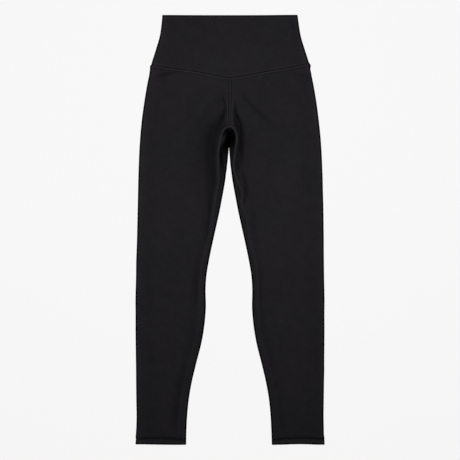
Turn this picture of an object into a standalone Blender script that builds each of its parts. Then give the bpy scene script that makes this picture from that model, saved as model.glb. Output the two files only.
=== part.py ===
"""High-rise leggings laid flat with their front up.

Metres, +Z up. The underside lies on Z = 0, the waist edge points towards +Y and the wearer's left is +X.
The origin is in the middle of the length and width, on the surface that the cloth lies on.

Each piece is one sheet. A grid is laid over the outer face of the garment and a Solidify modifier gives
it the cloth's wall. Places are given by x and by drop, the distance below the waist edge. On one leg,
out is the distance from the middle towards that leg's outer side.
"""

from collections import namedtuple
from math import cos, exp, hypot, pi, sin, sqrt

import bmesh
import bpy

# Cloth and seams
LENGTH = 0.8805
CLOTH = 0.0011
BAND_WALL = 0.0022
HEM_WALL = 0.0022
HEM_DEPTH = 0.0135
SEAM_GAP = 0.0003

# Heights of the upper face over the surface
LEG_HEIGHT = 0.0030
BAND_HEIGHT = 0.0050
HEM_HEIGHT = 0.0050
SIDE_ROLL = 0.0012
ROLL_CENTRE = 0.0035
ROLL_REACH = 0.0090
THICK_SIDE_ROLL = 0.0006
INNER_ROLL = 0.0010
INNER_ROLL_REACH = 0.0045
WAIST_SEAM_RISE = 0.0014
WAIST_SEAM_REACH = 0.0120
SEAM_LAND = 0.0015
FOLD_INSET = 0.0024
SIDE_LAND = 0.0006
HEM_STEP = 0.0040

# Waistband
WAIST_DIP = 0.0005
BAND_SIDE_DROP = 0.1043
BAND_POINT = 0.0250
BACK_BAND_POINT = 0.0140
POINT_POWER = 1.3
POINT_ROUNDING = 0.006

# Crotch: the front arch, the notch where the legs part, and the gusset's edge under the cloth
ARCH_X = -0.0012
ARCH_DROP = 0.2298
NOTCH_X = -0.0023
NOTCH_DROP = 0.2792
NOTCH_RADIUS = 0.00095
BACK_REACH = 0.0120
GUSSET_END = 0.3390
CROTCH_MIDDLE = 0.2900
MOUND_HEIGHT = 0.0012
MOUND_REACH = 0.0450
MOUND_LENGTH = 0.1700
TROUGH_DEPTH = 0.0009
TROUGH_OFFSET = 0.0170
TROUGH_REACH = 0.0070
TROUGH_LENGTH = 0.0850
RIDGE_OUTER_REACH = 0.0065
RIDGE_INNER_REACH = 0.0030

Outline = namedtuple("Outline", "drop half_width")
OUTLINE = [
    Outline(0.000, 0.1388),
    Outline(0.030, 0.1420),
    Outline(0.060, 0.1492),
    Outline(0.105, 0.1627),
    Outline(0.155, 0.1722),
    Outline(0.215, 0.1810),
    Outline(0.300, 0.1874),
    Outline(0.420, 0.1903),
    Outline(0.590, 0.1934),
    Outline(0.750, 0.1926),
    Outline(0.823, 0.1912),
    Outline(0.862, 0.1930),
    Outline(LENGTH, 0.1935),
]

InnerEdge = namedtuple("InnerEdge", "drop half_gap")
INNER_EDGE = [
    InnerEdge(NOTCH_DROP, NOTCH_RADIUS),
    InnerEdge(0.306, 0.0035),
    InnerEdge(0.339, 0.0079),
    InnerEdge(0.388, 0.0167),
    InnerEdge(0.437, 0.0270),
    InnerEdge(0.503, 0.0413),
    InnerEdge(0.548, 0.0475),
    InnerEdge(0.600, 0.0477),
    InnerEdge(0.640, 0.0511),
    InnerEdge(0.683, 0.0594),
    InnerEdge(0.749, 0.0757),
    InnerEdge(0.798, 0.0839),
    InnerEdge(0.831, 0.0864),
    InnerEdge(LENGTH, 0.0881),
]

Inseam = namedtuple("Inseam", "drop out")
Side = namedtuple("Side", "name sign arch_width arch_height inseam")
RIGHT = Side("right", -1, 0.0234, 0.0615, [
    Inseam(0.2913, 0.0246),
    Inseam(0.306, 0.0246),
    Inseam(0.322, 0.0243),
    Inseam(0.339, 0.0236),
    Inseam(0.365, 0.0294),
    Inseam(0.388, 0.0336),
    Inseam(0.437, 0.0416),
    Inseam(0.503, 0.0550),
    Inseam(0.548, 0.0604),
    Inseam(0.600, 0.0608),
    Inseam(0.640, 0.0646),
    Inseam(0.683, 0.0738),
    Inseam(0.749, 0.0912),
    Inseam(0.798, 0.1000),
    Inseam(LENGTH, 0.1046),
])
LEFT = Side("left", 1, 0.0158, 0.0267, [
    Inseam(0.2565, 0.0146),
    Inseam(0.271, 0.0131),
    Inseam(0.286, 0.0103),
    Inseam(0.303, 0.0078),
    Inseam(0.327, 0.0121),
    Inseam(0.348, 0.0203),
    Inseam(0.365, 0.0250),
    Inseam(0.383, 0.0258),
    Inseam(0.413, 0.0335),
    Inseam(0.437, 0.0392),
    Inseam(0.503, 0.0513),
    Inseam(0.548, 0.0560),
    Inseam(0.600, 0.0563),
    Inseam(0.640, 0.0603),
    Inseam(0.683, 0.0695),
    Inseam(0.749, 0.0867),
    Inseam(0.798, 0.0955),
    Inseam(LENGTH, 0.1003),
])

Ridge = namedtuple("Ridge", "drop height")
RIDGE = [
    Ridge(0.100, 0.0004),
    Ridge(0.180, 0.0006),
    Ridge(ARCH_DROP, 0.0018),
    Ridge(0.290, 0.0018),
    Ridge(0.360, 0.0010),
    Ridge(0.600, 0.0008),
    Ridge(LENGTH, 0.0005),
]

# How far the gusset reaches under the cloth from the inner fold
GussetEdge = namedtuple("GussetEdge", "drop reach")
GUSSET_EDGE = [
    GussetEdge(NOTCH_DROP, BACK_REACH),
    GussetEdge(0.295, 0.0095),
    GussetEdge(0.315, 0.0050),
    GussetEdge(GUSSET_END, 0.0010),
]

# Rows of the leg sheets, by the drop at the outer side
YOKE_ROWS = [BAND_SIDE_DROP, BAND_SIDE_DROP + SEAM_LAND, 0.122, 0.144, 0.166, 0.188, 0.206, 0.219]
ARCH_ROWS = [ARCH_DROP, 0.2306, 0.2335, 0.239, 0.248, 0.258, 0.268]
NOTCH_ROWS = [NOTCH_DROP, 0.288, 0.298, 0.308, 0.318, 0.328, GUSSET_END]
LEG_ROWS = [0.346, 0.356, 0.370, 0.388, 0.410, 0.437, 0.470, 0.503, 0.530, 0.560, 0.595, 0.630,
            0.665, 0.700, 0.738, 0.775, 0.815, LENGTH - HEM_DEPTH - HEM_STEP]
HEM_ROWS = [LENGTH - HEM_DEPTH, LENGTH - HEM_DEPTH / 2, LENGTH]

# Columns of the front, each at a share of the way from the front edge to the outer fold, plus a step
Column = namedtuple("Column", "share step")
FRONT_COLUMNS = [
    Column(0.0, 0.0),
    Column(0.0, SEAM_LAND),
    Column(0.0, 0.005),
    Column(0.0, 0.010),
    Column(0.0, 0.017),
    Column(0.0, 0.030),
    Column(0.5, 0.0),
    Column(1.0, -0.012),
    Column(1.0, 0.0),
]
ARCH_STEPS = 9
INSEAM_STEPS = 50
FOLD_COLUMNS = 4
BACK_COLUMNS = 6
STRIP_COLUMNS = 2
BAND_FOLD_COLUMNS = 3
BAND_ROWS = 5
GUSSET_STEPS = [0.0, SEAM_LAND, 0.0035, 0.0060]
GUSSET_SHORT_TOP = 0.0080
GUSSET_UNDER_COLUMNS = 2

CHARCOAL = (0.0152, 0.0144, 0.0168, 1.0)
BLACK = (0.0060, 0.0058, 0.0062, 1.0)
CLOTH_ROUGHNESS = 0.85


def along(table, column, drop):
    """Reads one column of a table at any drop, on a smooth curve through its rows."""
    drops = [row.drop for row in table]
    values = [getattr(row, column) for row in table]
    last = len(table) - 2
    i = max((k for k in range(last + 1) if drops[k] <= drop), default=0)

    def slope(k):
        low, high = max(k - 1, 0), min(k + 1, last + 1)
        return (values[high] - values[low]) / (drops[high] - drops[low])

    span = drops[i + 1] - drops[i]
    t = min(max((drop - drops[i]) / span, 0.0), 1.0)
    bend = t * t * (3 - 2 * t)
    leave = span * t * (1 - t) ** 2 * slope(i)
    arrive = span * t * t * (t - 1) * slope(i + 1)
    return values[i] + bend * (values[i + 1] - values[i]) + leave + arrive


def bell(distance, reach):
    """A smooth hump, 1 at no distance."""
    return exp(-((distance / reach) ** 2))


def half_width(drop):
    return along(OUTLINE, "half_width", drop)


def half_gap(drop):
    return along(INNER_EDGE, "half_gap", drop)


def band_edge(x, point):
    """Drop of the waistband's lower edge, which runs down to a blunt point in the middle."""
    width = half_width(BAND_SIDE_DROP)
    across = min(sqrt(x * x + POINT_ROUNDING * POINT_ROUNDING) / width, 1.0)
    return BAND_SIDE_DROP + point * (1 - across) ** POINT_POWER


def front_seam_x(drop):
    """The centre-front seam leans a little towards the right leg on its way down."""
    lean = (drop - BAND_SIDE_DROP) / (ARCH_DROP - BAND_SIDE_DROP)
    return ARCH_X * min(max(lean, 0.0), 1.0)


def seam_out(side, drop):
    """Out of the front edge: the centre-front seam, then the arch, then the inseam."""
    if drop <= ARCH_DROP:
        return side.sign * front_seam_x(drop)
    if drop < ARCH_DROP + side.arch_height:
        rise = 1 - (drop - ARCH_DROP) / side.arch_height
        return side.sign * ARCH_X + side.arch_width * sqrt(1 - rise * rise)
    return along(side.inseam, "out", drop)


def seam_line(side):
    """Points (x, drop) of the arch and the inseam, close together round the arch."""
    arch = [ARCH_DROP + side.arch_height * (1 - cos(pi / 2 * k / ARCH_STEPS)) for k in range(ARCH_STEPS + 1)]
    leg = [arch[-1] + (LENGTH - arch[-1]) * k / INSEAM_STEPS for k in range(1, INSEAM_STEPS + 1)]
    return [(side.sign * seam_out(side, drop), drop) for drop in arch + leg]


SEAM_LINES = [seam_line(RIGHT), seam_line(LEFT)]


def seam_distance(x, drop):
    """Distance from a point to the nearer arch or inseam."""
    nearest = LENGTH
    for line in SEAM_LINES:
        for (ax, ad), (bx, bd) in zip(line, line[1:]):
            length2 = (bx - ax) ** 2 + (bd - ad) ** 2
            t = ((x - ax) * (bx - ax) + (drop - ad) * (bd - ad)) / length2
            t = min(max(t, 0.0), 1.0)
            nearest = min(nearest, hypot(x - ax - t * (bx - ax), drop - ad - t * (bd - ad)))
    return nearest


def gap_distance(x, drop):
    """Distance from a point of the cloth to the gap between the legs."""
    if drop <= NOTCH_DROP:
        return hypot(x - NOTCH_X, drop - NOTCH_DROP) - NOTCH_RADIUS
    return abs(x - NOTCH_X) - half_gap(drop)


def within_seams(x, drop):
    """Whether a point lies inside the arch or between an inseam and the gap."""
    side = RIGHT if x < ARCH_X else LEFT
    return drop > ARCH_DROP and side.sign * x < seam_out(side, drop)


def leg_height(x, drop):
    """Height of the legs' and the gusset's upper face."""
    from_seam = seam_distance(x, drop)
    from_side = half_width(drop) - abs(x)
    mound = MOUND_HEIGHT * bell(drop - CROTCH_MIDDLE, MOUND_LENGTH)
    ridge = along(RIDGE, "height", drop)
    off_crest = max(from_seam - SEAM_LAND, 0.0)
    if within_seams(x, drop):
        relief = (mound + ridge) * bell(off_crest, RIDGE_INNER_REACH)
    else:
        trough = TROUGH_DEPTH * bell(drop - CROTCH_MIDDLE, TROUGH_LENGTH)
        relief = (mound * bell(off_crest, MOUND_REACH)
                  + ridge * bell(off_crest, RIDGE_OUTER_REACH)
                  - trough * bell(from_seam - TROUGH_OFFSET, TROUGH_REACH))
    relief += INNER_ROLL * bell(gap_distance(x, drop), INNER_ROLL_REACH)
    below_band = max(drop - band_edge(x, BAND_POINT) - SEAM_LAND, 0.0)
    relief += WAIST_SEAM_RISE * bell(below_band, WAIST_SEAM_REACH)
    hem = min(max((drop - LENGTH + HEM_DEPTH + HEM_STEP) / HEM_STEP, 0.0), 1.0)
    roll = (SIDE_ROLL + (THICK_SIDE_ROLL - SIDE_ROLL) * hem) * bell(from_side - ROLL_CENTRE, ROLL_REACH)
    return LEG_HEIGHT + (HEM_HEIGHT - LEG_HEIGHT) * hem + roll + relief * (1 - hem)


def band_height(x, drop):
    """Height of the waistband's upper face."""
    from_side = half_width(drop) - abs(x)
    return BAND_HEIGHT + THICK_SIDE_ROLL * bell(from_side - ROLL_CENTRE, ROLL_REACH)


def fold_radius(height, drop):
    """Half the cloth's height beside the outer fold, where the fold starts."""
    return height(half_width(drop) - FOLD_INSET, drop) / 2


def front_places(first, last):
    """Places of the front columns between two ends."""
    return [first + column.share * (last - first) + column.step for column in FRONT_COLUMNS]


class InnerFold:
    """The way round the cloth at the inner side, from the underside over the fold to the front edge.

    It runs straight across a leg, and above the notch it runs from the notch towards the arch. Its
    places are given by distance: 0 where the fold leaves the surface, and less on the underside.
    """

    def __init__(self, side, drop):
        self.side = side
        seam = (side.sign * seam_out(side, drop), drop)
        if drop >= NOTCH_DROP:
            self.start = (NOTCH_X + side.sign * half_gap(drop), drop)
        else:
            reach = hypot(seam[0] - NOTCH_X, seam[1] - NOTCH_DROP)
            share = NOTCH_RADIUS / reach
            self.start = (NOTCH_X + share * (seam[0] - NOTCH_X),
                          NOTCH_DROP + share * (seam[1] - NOTCH_DROP))
        width = hypot(seam[0] - self.start[0], seam[1] - self.start[1])
        self.way = ((seam[0] - self.start[0]) / width, (seam[1] - self.start[1]) / width)
        self.radius = leg_height(*self.place(FOLD_INSET)) / 2
        self.round = pi * self.radius
        self.length = self.round + width - self.radius
        self.gusset_reach = along(GUSSET_EDGE, "reach", max(drop, NOTCH_DROP))

    def place(self, inward):
        """(x, drop) at a distance in from the silhouette."""
        return (self.start[0] + inward * self.way[0], self.start[1] + inward * self.way[1])

    def point(self, distance):
        """(x, drop, z) at a distance along the way round."""
        if distance <= 0:
            return (*self.place(self.radius - distance), 0.0)
        if distance < self.round:
            turn = distance / self.radius
            x, drop = self.place(self.radius * (1 - sin(turn)))
            return (x, drop, self.radius * (1 - cos(turn)))
        x, drop = self.place(self.radius + distance - self.round)
        return (x, drop, leg_height(x, drop))


def aside(side, drop):
    """Sideways share of the seam gap where the two legs meet, from the waistband to the arch."""
    return side.sign * SEAM_GAP / 2 if drop <= ARCH_DROP else 0.0


def front_points(side, drop):
    """The front of one row, from the front edge to the start of the outer fold."""
    lift = 1 - yoke_share(drop)
    radius = fold_radius(leg_height, drop)
    edge = side.sign * seam_out(side, drop) + aside(side, drop)
    up = 0.0
    if drop >= ARCH_DROP:
        way = InnerFold(side, drop).way
        edge += way[0] * SEAM_GAP / 2
        up = way[1] * SEAM_GAP / 2
    if drop == BAND_SIDE_DROP:
        drop += SEAM_GAP / 2
    last = half_width(drop) - radius
    points = []
    for k, out in enumerate(front_places(side.sign * edge, last)):
        x = side.sign * out
        row_drop = drop + lift * (band_edge(x, BAND_POINT) - BAND_SIDE_DROP) + (up if k == 0 else 0.0)
        points.append((x, row_drop, leg_height(x, row_drop)))
    return points, radius


def yoke_share(drop):
    """0 along the waistband, 1 from the top of the arch down."""
    return min((drop - BAND_SIDE_DROP) / (ARCH_DROP - BAND_SIDE_DROP), 1.0)


def back_crotch():
    """Drop of the lower end of the centre-back seam, where the gusset's edge lies under the arch."""
    above_notch = InnerFold(RIGHT, ARCH_DROP)
    return above_notch.point(-above_notch.gusset_reach)[1]


def back_drop(drop, x):
    """Drop of a row on the underside: its middle sinks from the waistband's point to the back crotch."""
    share = yoke_share(drop)
    middle = (1 - min(abs(x - NOTCH_X * share) / half_width(drop), 1.0)) ** POINT_POWER
    dip = (1 - share) * (band_edge(x, BACK_BAND_POINT) - BAND_SIDE_DROP)
    return drop + dip + share * middle * (back_crotch() - ARCH_DROP)


def leg_row(side, drop):
    """One row of a leg sheet: its front, outer fold and back, and below the gusset its inner fold too."""
    points, radius = front_points(side, drop)
    if drop == BAND_SIDE_DROP:
        drop += SEAM_GAP / 2
    outer = half_width(drop) - radius
    for k in range(1, FOLD_COLUMNS + 1):
        turn = pi * k / FOLD_COLUMNS
        points.append((side.sign * (outer + radius * sin(turn)), drop, radius * (1 + cos(turn))))

    if drop < ARCH_DROP:
        inner = side.sign * NOTCH_X * yoke_share(drop) + SEAM_GAP / 2
        for k in range(1, BACK_COLUMNS + 1):
            x = side.sign * (outer + (inner - outer) * k / BACK_COLUMNS)
            points.append((x, back_drop(drop, x), 0.0))
        return points

    fold = InnerFold(side, drop)
    inner_x, inner_drop, _ = fold.point(-fold.gusset_reach - SEAM_GAP / 2)
    inner = side.sign * (inner_x + aside(side, drop))
    for k in range(1, BACK_COLUMNS + 1):
        share = k / BACK_COLUMNS
        out = outer + (inner - outer) * share
        points.append((side.sign * out, drop + (inner_drop - drop) * share ** POINT_POWER, 0.0))
    if drop >= GUSSET_END:
        points += [fold.point(fold.round * k / FOLD_COLUMNS) for k in range(1, FOLD_COLUMNS + 1)]
        strip = fold.length - SEAM_GAP - fold.round
        points += [fold.point(fold.round + strip * k / STRIP_COLUMNS) for k in range(1, STRIP_COLUMNS + 1)]
    return points


def gusset_line(side, drop):
    """One line of the gusset, from the front arch over the inner fold to its edge on the underside."""
    fold = InnerFold(side, drop - SEAM_GAP if drop == GUSSET_END else drop)
    first = fold.length - SEAM_GAP / 2
    short = min((first - fold.round) / GUSSET_SHORT_TOP, 1.0)
    marks = [first - short * step for step in GUSSET_STEPS]
    marks += [fold.round * (1 - k / FOLD_COLUMNS) for k in range(FOLD_COLUMNS + 1)]
    under = fold.gusset_reach - SEAM_GAP / 2
    marks += [-under * k / GUSSET_UNDER_COLUMNS for k in range(1, GUSSET_UNDER_COLUMNS + 1)]
    return [fold.point(mark) for mark in marks]


def cloth_material(name, colour):
    material = bpy.data.materials.new(name)
    material.use_nodes = True
    shader = material.node_tree.nodes["Principled BSDF"]
    shader.inputs["Base Color"].default_value = colour
    shader.inputs["Roughness"].default_value = CLOTH_ROUGHNESS
    shader.inputs["Metallic"].default_value = 0.0
    return material


def sheet(name, rows, wall, material, face_down=False):
    """A grid whose points are moved to the given rows of (x, drop, z), with a wall behind it.

    The last row is the longest, and what a shorter row leaves over is cut off.
    """
    bm = bmesh.new()
    wide, high = len(rows[-1]) - 1, len(rows) - 1
    bmesh.ops.create_grid(bm, x_segments=wide, y_segments=high, size=1.0)
    left_over = []
    for vertex in bm.verts:
        column = round((vertex.co.x + 1) / 2 * wide)
        row = round((vertex.co.y + 1) / 2 * high)
        if column < len(rows[row]):
            x, drop, z = rows[row][column]
            vertex.co = (x, LENGTH / 2 - drop, z)
        else:
            left_over.append(vertex)
    bmesh.ops.delete(bm, geom=left_over, context="VERTS")
    if face_down:
        bmesh.ops.reverse_faces(bm, faces=bm.faces)
    mesh = bpy.data.meshes.new(name)
    bm.to_mesh(mesh)
    bm.free()
    mesh.shade_smooth()
    mesh.materials.append(material)
    piece = bpy.data.objects.new(name, mesh)
    shell = piece.modifiers.new("wall", "SOLIDIFY")
    shell.thickness = wall
    shell.offset = -1.0
    shell.use_even_offset = True
    shell.use_quality_normals = True
    return piece


def leg(side, material):
    """One leg, with its wall doubled where the hem is turned up."""
    drops = YOKE_ROWS + ARCH_ROWS + NOTCH_ROWS + LEG_ROWS + HEM_ROWS
    rows = [leg_row(side, drop) for drop in drops]
    piece = sheet("leg_" + side.name, rows, HEM_WALL, material, face_down=side.sign > 0)
    turned_up = piece.vertex_groups.new(name="turned_up_hem")
    top = LENGTH / 2 - HEM_ROWS[0] + SEAM_GAP
    turned_up.add([v.index for v in piece.data.vertices if v.co.y < top], 1.0, "REPLACE")
    shell = piece.modifiers["wall"]
    shell.vertex_group = turned_up.name
    shell.thickness_vertex_group = CLOTH / HEM_WALL
    return piece


def gusset(material):
    """The crotch gusset, from its tip on the right leg over the arch to its tip on the left leg."""
    drops = ARCH_ROWS + NOTCH_ROWS
    rows = [gusset_line(RIGHT, drop) for drop in reversed(drops[1:])]
    rows += [gusset_line(LEFT, drop) for drop in drops]
    return sheet("gusset", rows, CLOTH, material)


def band_row(share, front):
    """One row of a waistband panel, from the right side fold to the left one."""
    point = BAND_POINT if front else BACK_BAND_POINT
    side_drop = share * (BAND_SIDE_DROP - SEAM_GAP / 2)
    width = half_width(side_drop)
    radius = fold_radius(band_height, side_drop)
    flat = width - radius
    back_places = [flat * k / BACK_COLUMNS for k in range(BACK_COLUMNS + 1)]
    places = front_places(0.0, flat) if front else back_places
    half = []
    for x in places:
        drop = share * (band_edge(x, point) - SEAM_GAP / 2)
        drop += WAIST_DIP * (1 - share) * bell(x, half_width(0) / 2)
        half.append((x, drop, band_height(x, drop) if front else 0.0))
    face = half[-1][2]
    land = radius + (SEAM_GAP / 2 + SIDE_LAND) * (1 if front else -1)
    for k in range(1, BAND_FOLD_COLUMNS + 1):
        turn = pi / 2 * k / BAND_FOLD_COLUMNS
        half.append((flat + radius * sin(turn), side_drop, land + (face - land) * cos(turn)))
    edge = radius + SEAM_GAP / 2 * (1 if front else -1)
    half.append((width, side_drop, edge))
    other = [(-x, drop, z) for x, drop, z in reversed(half[1:])]
    return other + half


def waistband(name, front, material):
    rows = [band_row(k / BAND_ROWS, front) for k in range(BAND_ROWS + 1)]
    return sheet(name, rows, BAND_WALL, material, face_down=front)


def clear_scene():
    for old in list(bpy.data.objects):
        bpy.data.objects.remove(old, do_unlink=True)


def main():
    clear_scene()
    charcoal = cloth_material("charcoal_knit", CHARCOAL)
    shade = cloth_material("gusset_knit", BLACK)
    band_cloth = cloth_material("waistband_knit", CHARCOAL)
    garment = bpy.data.collections.new("leggings")
    bpy.context.scene.collection.children.link(garment)
    pieces = [
        waistband("waistband_front", True, band_cloth),
        waistband("waistband_back", False, band_cloth),
        leg(RIGHT, charcoal),
        leg(LEFT, charcoal),
        gusset(shade),
    ]
    for piece in pieces:
        garment.objects.link(piece)


main()
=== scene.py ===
"""High-rise leggings laid flat with their front up: the finished cloth, its seams and the stage.

Places on the garment are given by x and by drop, the distance below the waist edge, in millimetres in the
tables and in metres in the code. The wearer's left is +X and the waist edge points towards +Y.
"""

from collections import namedtuple
from functools import partial
from math import pi, radians

import bmesh
import bpy
import numpy as np
from bpy.props import FloatProperty, FloatVectorProperty, PointerProperty
from mathutils import Euler, Matrix, Vector


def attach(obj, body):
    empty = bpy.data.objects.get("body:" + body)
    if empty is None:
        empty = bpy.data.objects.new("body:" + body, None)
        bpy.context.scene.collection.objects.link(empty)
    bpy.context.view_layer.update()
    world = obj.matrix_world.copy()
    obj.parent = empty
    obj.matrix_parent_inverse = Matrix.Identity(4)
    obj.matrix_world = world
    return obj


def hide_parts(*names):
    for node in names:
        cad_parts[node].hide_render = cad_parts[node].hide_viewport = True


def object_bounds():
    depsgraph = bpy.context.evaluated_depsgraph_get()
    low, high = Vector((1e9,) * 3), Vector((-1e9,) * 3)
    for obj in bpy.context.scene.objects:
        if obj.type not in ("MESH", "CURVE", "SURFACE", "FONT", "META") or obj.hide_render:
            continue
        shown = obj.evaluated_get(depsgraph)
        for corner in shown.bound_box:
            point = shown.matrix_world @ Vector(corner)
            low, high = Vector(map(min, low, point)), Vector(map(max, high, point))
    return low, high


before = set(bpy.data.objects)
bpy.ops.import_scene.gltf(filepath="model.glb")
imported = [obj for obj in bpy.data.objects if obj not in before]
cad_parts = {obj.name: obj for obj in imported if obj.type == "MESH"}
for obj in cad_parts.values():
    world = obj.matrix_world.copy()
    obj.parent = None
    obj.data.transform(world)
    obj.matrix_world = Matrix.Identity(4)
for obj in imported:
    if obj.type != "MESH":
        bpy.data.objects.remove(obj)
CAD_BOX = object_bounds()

bl_info = {
    "name": "Laid-flat leggings",
    "version": (1, 0, 0),
    "blender": (4, 5, 0),
    "location": "3D View > Sidebar > Leggings",
    "description": "Makes the cloth, seams and stage of high-rise leggings laid flat",
    "category": "Add Mesh",
}

MM = 0.001
CAD_LOW, CAD_HIGH = CAD_BOX
TOP = CAD_HIGH.y
LENGTH = CAD_HIGH.y - CAD_LOW.y
SHADE = "shade"

# Heights of the upper face, and the roundings and gaps of the cloth, in metres
LEG_HEIGHT = 0.0032
BAND_HEIGHT = 0.0050
HEM_HEIGHT = 0.0050
FRONT_LOWEST = 0.0021
FRONT_SOFTNESS = 0.0005
EDGE_RADIUS = 0.0011
TURN_UP_GAP = 0.00005
SEAM_GAP = 0.00005

# How far from the gap between the legs the fold round its edge starts
INNER_FOLD = LEG_HEIGHT * 0.4

# Waistband: its ends, its raised corners, and the dip of its seam at the back
WAIST_END = 0.1620
WAIST_HALF = 0.165
WAIST_CORNER = {"right": 0.0001, "left": 0.0004}
BACK_DIP = 0.0140
BACK_CURVE = 1.5
BAND_WAVES = 0.6

# Seams, as distances from the ditch or the crest: the light line, the rows of stitches and the ridges
DITCH = 0.0024
STITCH_ROW = 0.0051
CREST = 0.0008
SEAM_LIGHT_REACH = 0.0030
CENTRE_STITCHES = 0.0030
CENTRE_NARROWING = 0.0010
INSEAM_ROW = 0.0028
HEM_STITCH_ROWS = (0.0020, 0.0050)
BACK_STITCH_ROW = 0.0024
BACK_SEAM_LIFT = 0.0006
BACK_SEAM_REACH = 0.0040
BACK_WAIST_REACH = 0.0060
BACK_HEM_SHARE = 0.7

# Hems: their depth at the ends and how far they arch up between them
HEM_DEPTH = 0.0106
HEM_ARCH = 0.0026

# Crotch: the top of the arch, the top of the gap between the legs, the gusset and the swell round it
APEX = (-0.0008, 0.2288)
NOTCH = (-0.00215, 0.2728)
NOTCH_RADIUS = 0.00045
GUSSET_END = 0.3390
BACK_REACH = 0.0120
TIP_REACH = 0.0001
INSIDE_FLOOR = 0.82
MOUND_HEIGHT = 0.0010
MOUND_DROP = 0.29
MOUND_LENGTH = 0.15
MOUND_REACH = 0.045

# Where a pale thread end shows at the right hem, how it lies and how large it is
THREAD_END = (-0.1038, 0.8722)
THREAD_END_WAY = (0.0008, -0.0006)
THREAD_END_SIZE = (0.0010, 0.00016)

# Rows of stitches: where they start and end, or how far they stay from the seams and edges at their ends
WAIST_ROW_START = 0.0010
WAIST_ROW_ENDS = {"front": 0.1610, "back": 0.1500}
CENTRE_ROW_GAPS = (0.0085, 0.0025)
INSEAM_ROW_GAPS = (0.0020, 0.0030)
HEM_ROW_MARGINS = {"front": 0.0040, "back": 0.0100}

# Stitches: the step that slopes are measured over, how flat they lie and how far they stand out
NUDGE = 0.0003
STITCH_FLATNESS = 0.6
STITCH_STANDS = 0.15

# Lines of painted light and painted shade along seams and edges: how much lighter or darker,
# how far off and how wide to either side. A change or growth is a share of its line's shade.
Line = namedtuple("Line", "shade place reach")
RIM_LIGHT = Line(0.20, 0.0047, 0.0010)
RIM_DARK = Line(-1.0, 0.0017, 0.0011)
INNER_RIM_DARK = Line(-1.0, 0.0020, 0.0011)
SIDE_LIGHT = {"right": Line(0.10, 0.0070, 0.0050), "left": Line(0.04, 0.0070, 0.0050)}
SIDE_SHADOW = Line(-0.05, 0.0300, 0.0100)
WAIST_DITCH = Line(-0.34, 0.0, 0.0010)
WAIST_LIGHT = Line(0.58, DITCH, 0.0011)
WAIST_LIGHT_DIP = Line(-0.12 / 0.58, 0.008, 0.035)
WAIST_STITCH_LINE = Line(-0.10, STITCH_ROW, 0.0010)
STITCH_LINE_GROWTH = 3.0
BAND_DITCH = Line(-0.24, 0.0, 0.0010)
BAND_LIGHT = Line(0.14, 0.0030, 0.0018)
BAND_SIDE_LIGHT = Line(0.12, 0.0065, 0.0045)
CENTRE_LIGHT = Line(0.26, 0.0, 0.0011)
CENTRE_LINE = Line(-0.36, 0.0, 0.0009)
CENTRE_LINE_CHANGE = {"right": 0.10 / 0.36, "left": -0.12 / 0.36}
BESIDE_CENTRE = Line(0.10, 0.0023, 0.0012)
BESIDE_CHANGE = 3.2
HEM_DITCH = Line(-0.50, -0.0006, 0.0024)
HEM_LIGHT = 0.16
BACK_HEM_DITCH = Line(-0.45, -0.0006, 0.0024)
BACK_SEAM_LIGHT = Line(0.12, 0.0042, 0.0014)
BACK_SEAM_DITCH = Line(-0.34, 0.0, 0.0009)
BACK_WAIST_LIGHT = Line(0.30, DITCH, 0.0012)

# The inner folds' share of their neighbour's shade, the plain end of the back's rows at its seam, and how
# far the back's seam lines have moved away where the gusset ends
RIM_SHARE = 0.5
PLAIN_END = 0.0030
TAPER_AWAY = 0.004

# How much painted shade darkens the hem's turned-up cloth, the fold of the waist edge and the lining face
TURNED_HEM_SHADE = 0.35
WAIST_FOLD_SHADE = 0.2
LINING_SHADE = 0.3

# Lifts along seams and edges, as lines too: how high in metres, how far off and how wide
SEAM_RISE = Line(0.0016, STITCH_ROW, 0.0070)
HEM_GROOVE = Line(-0.0008, -0.0012, 0.0026)
EDGE_SWELL = Line(0.0006, 0.0045, 0.0050)
BAND_GROOVE = Line(-0.0011, 0.0, 0.0013)

# How far the waist edge dips in the middle
WAIST_DIP = Line(0.0005, 0.0, 0.12)

# Rises from 0 to 1: where they start and over what length, in metres
Ramp = namedtuple("Ramp", "start length")
INSIDE_LIFT = Ramp(0.0, 0.0022)
INSIDE_SHADE_RAMP = Ramp(CREST, 0.0022)
LEG_LIFT = Ramp(0.0, 0.0060)
LEG_SHADE_RAMP = Ramp(0.0010, 0.0040)
CALM_HEM = Ramp(-0.018, 0.006)
CALM_SHARE = 0.7
WAIST_STEP = Ramp(-0.000375, 0.0015)
HEM_STEP = Ramp(-0.0004, 0.0035)
HEM_PULL = Ramp(-0.020, 0.018)
HEM_LIGHT_RAMP = Ramp(0.0020, 0.0020)
BACK_HEM_STEP = Ramp(-0.0010, 0.0030)
BACK_FLAT = Ramp(LEG_HEIGHT / 2, 0.0120)
BAND_FLAT = Ramp(0.0, 0.0120)
BAND_CORNER = Ramp(0.055, 0.080)
CENTRE_END = Ramp(0.0, 0.0040)
CENTRE_START = Ramp(0.0030, 0.0020)
CENTRE_NARROWS = Ramp(0.15, 0.07)
BESIDE_GROWS = Ramp(0.158, 0.030)
CENTRE_CHANGE = Ramp(0.175, 0.030)


def table(columns, rows):
    """Rows of plain numbers, given the names of their columns."""
    return [columns(*row) for row in rows]


Pair = namedtuple("Pair", "drop right left")

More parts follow.
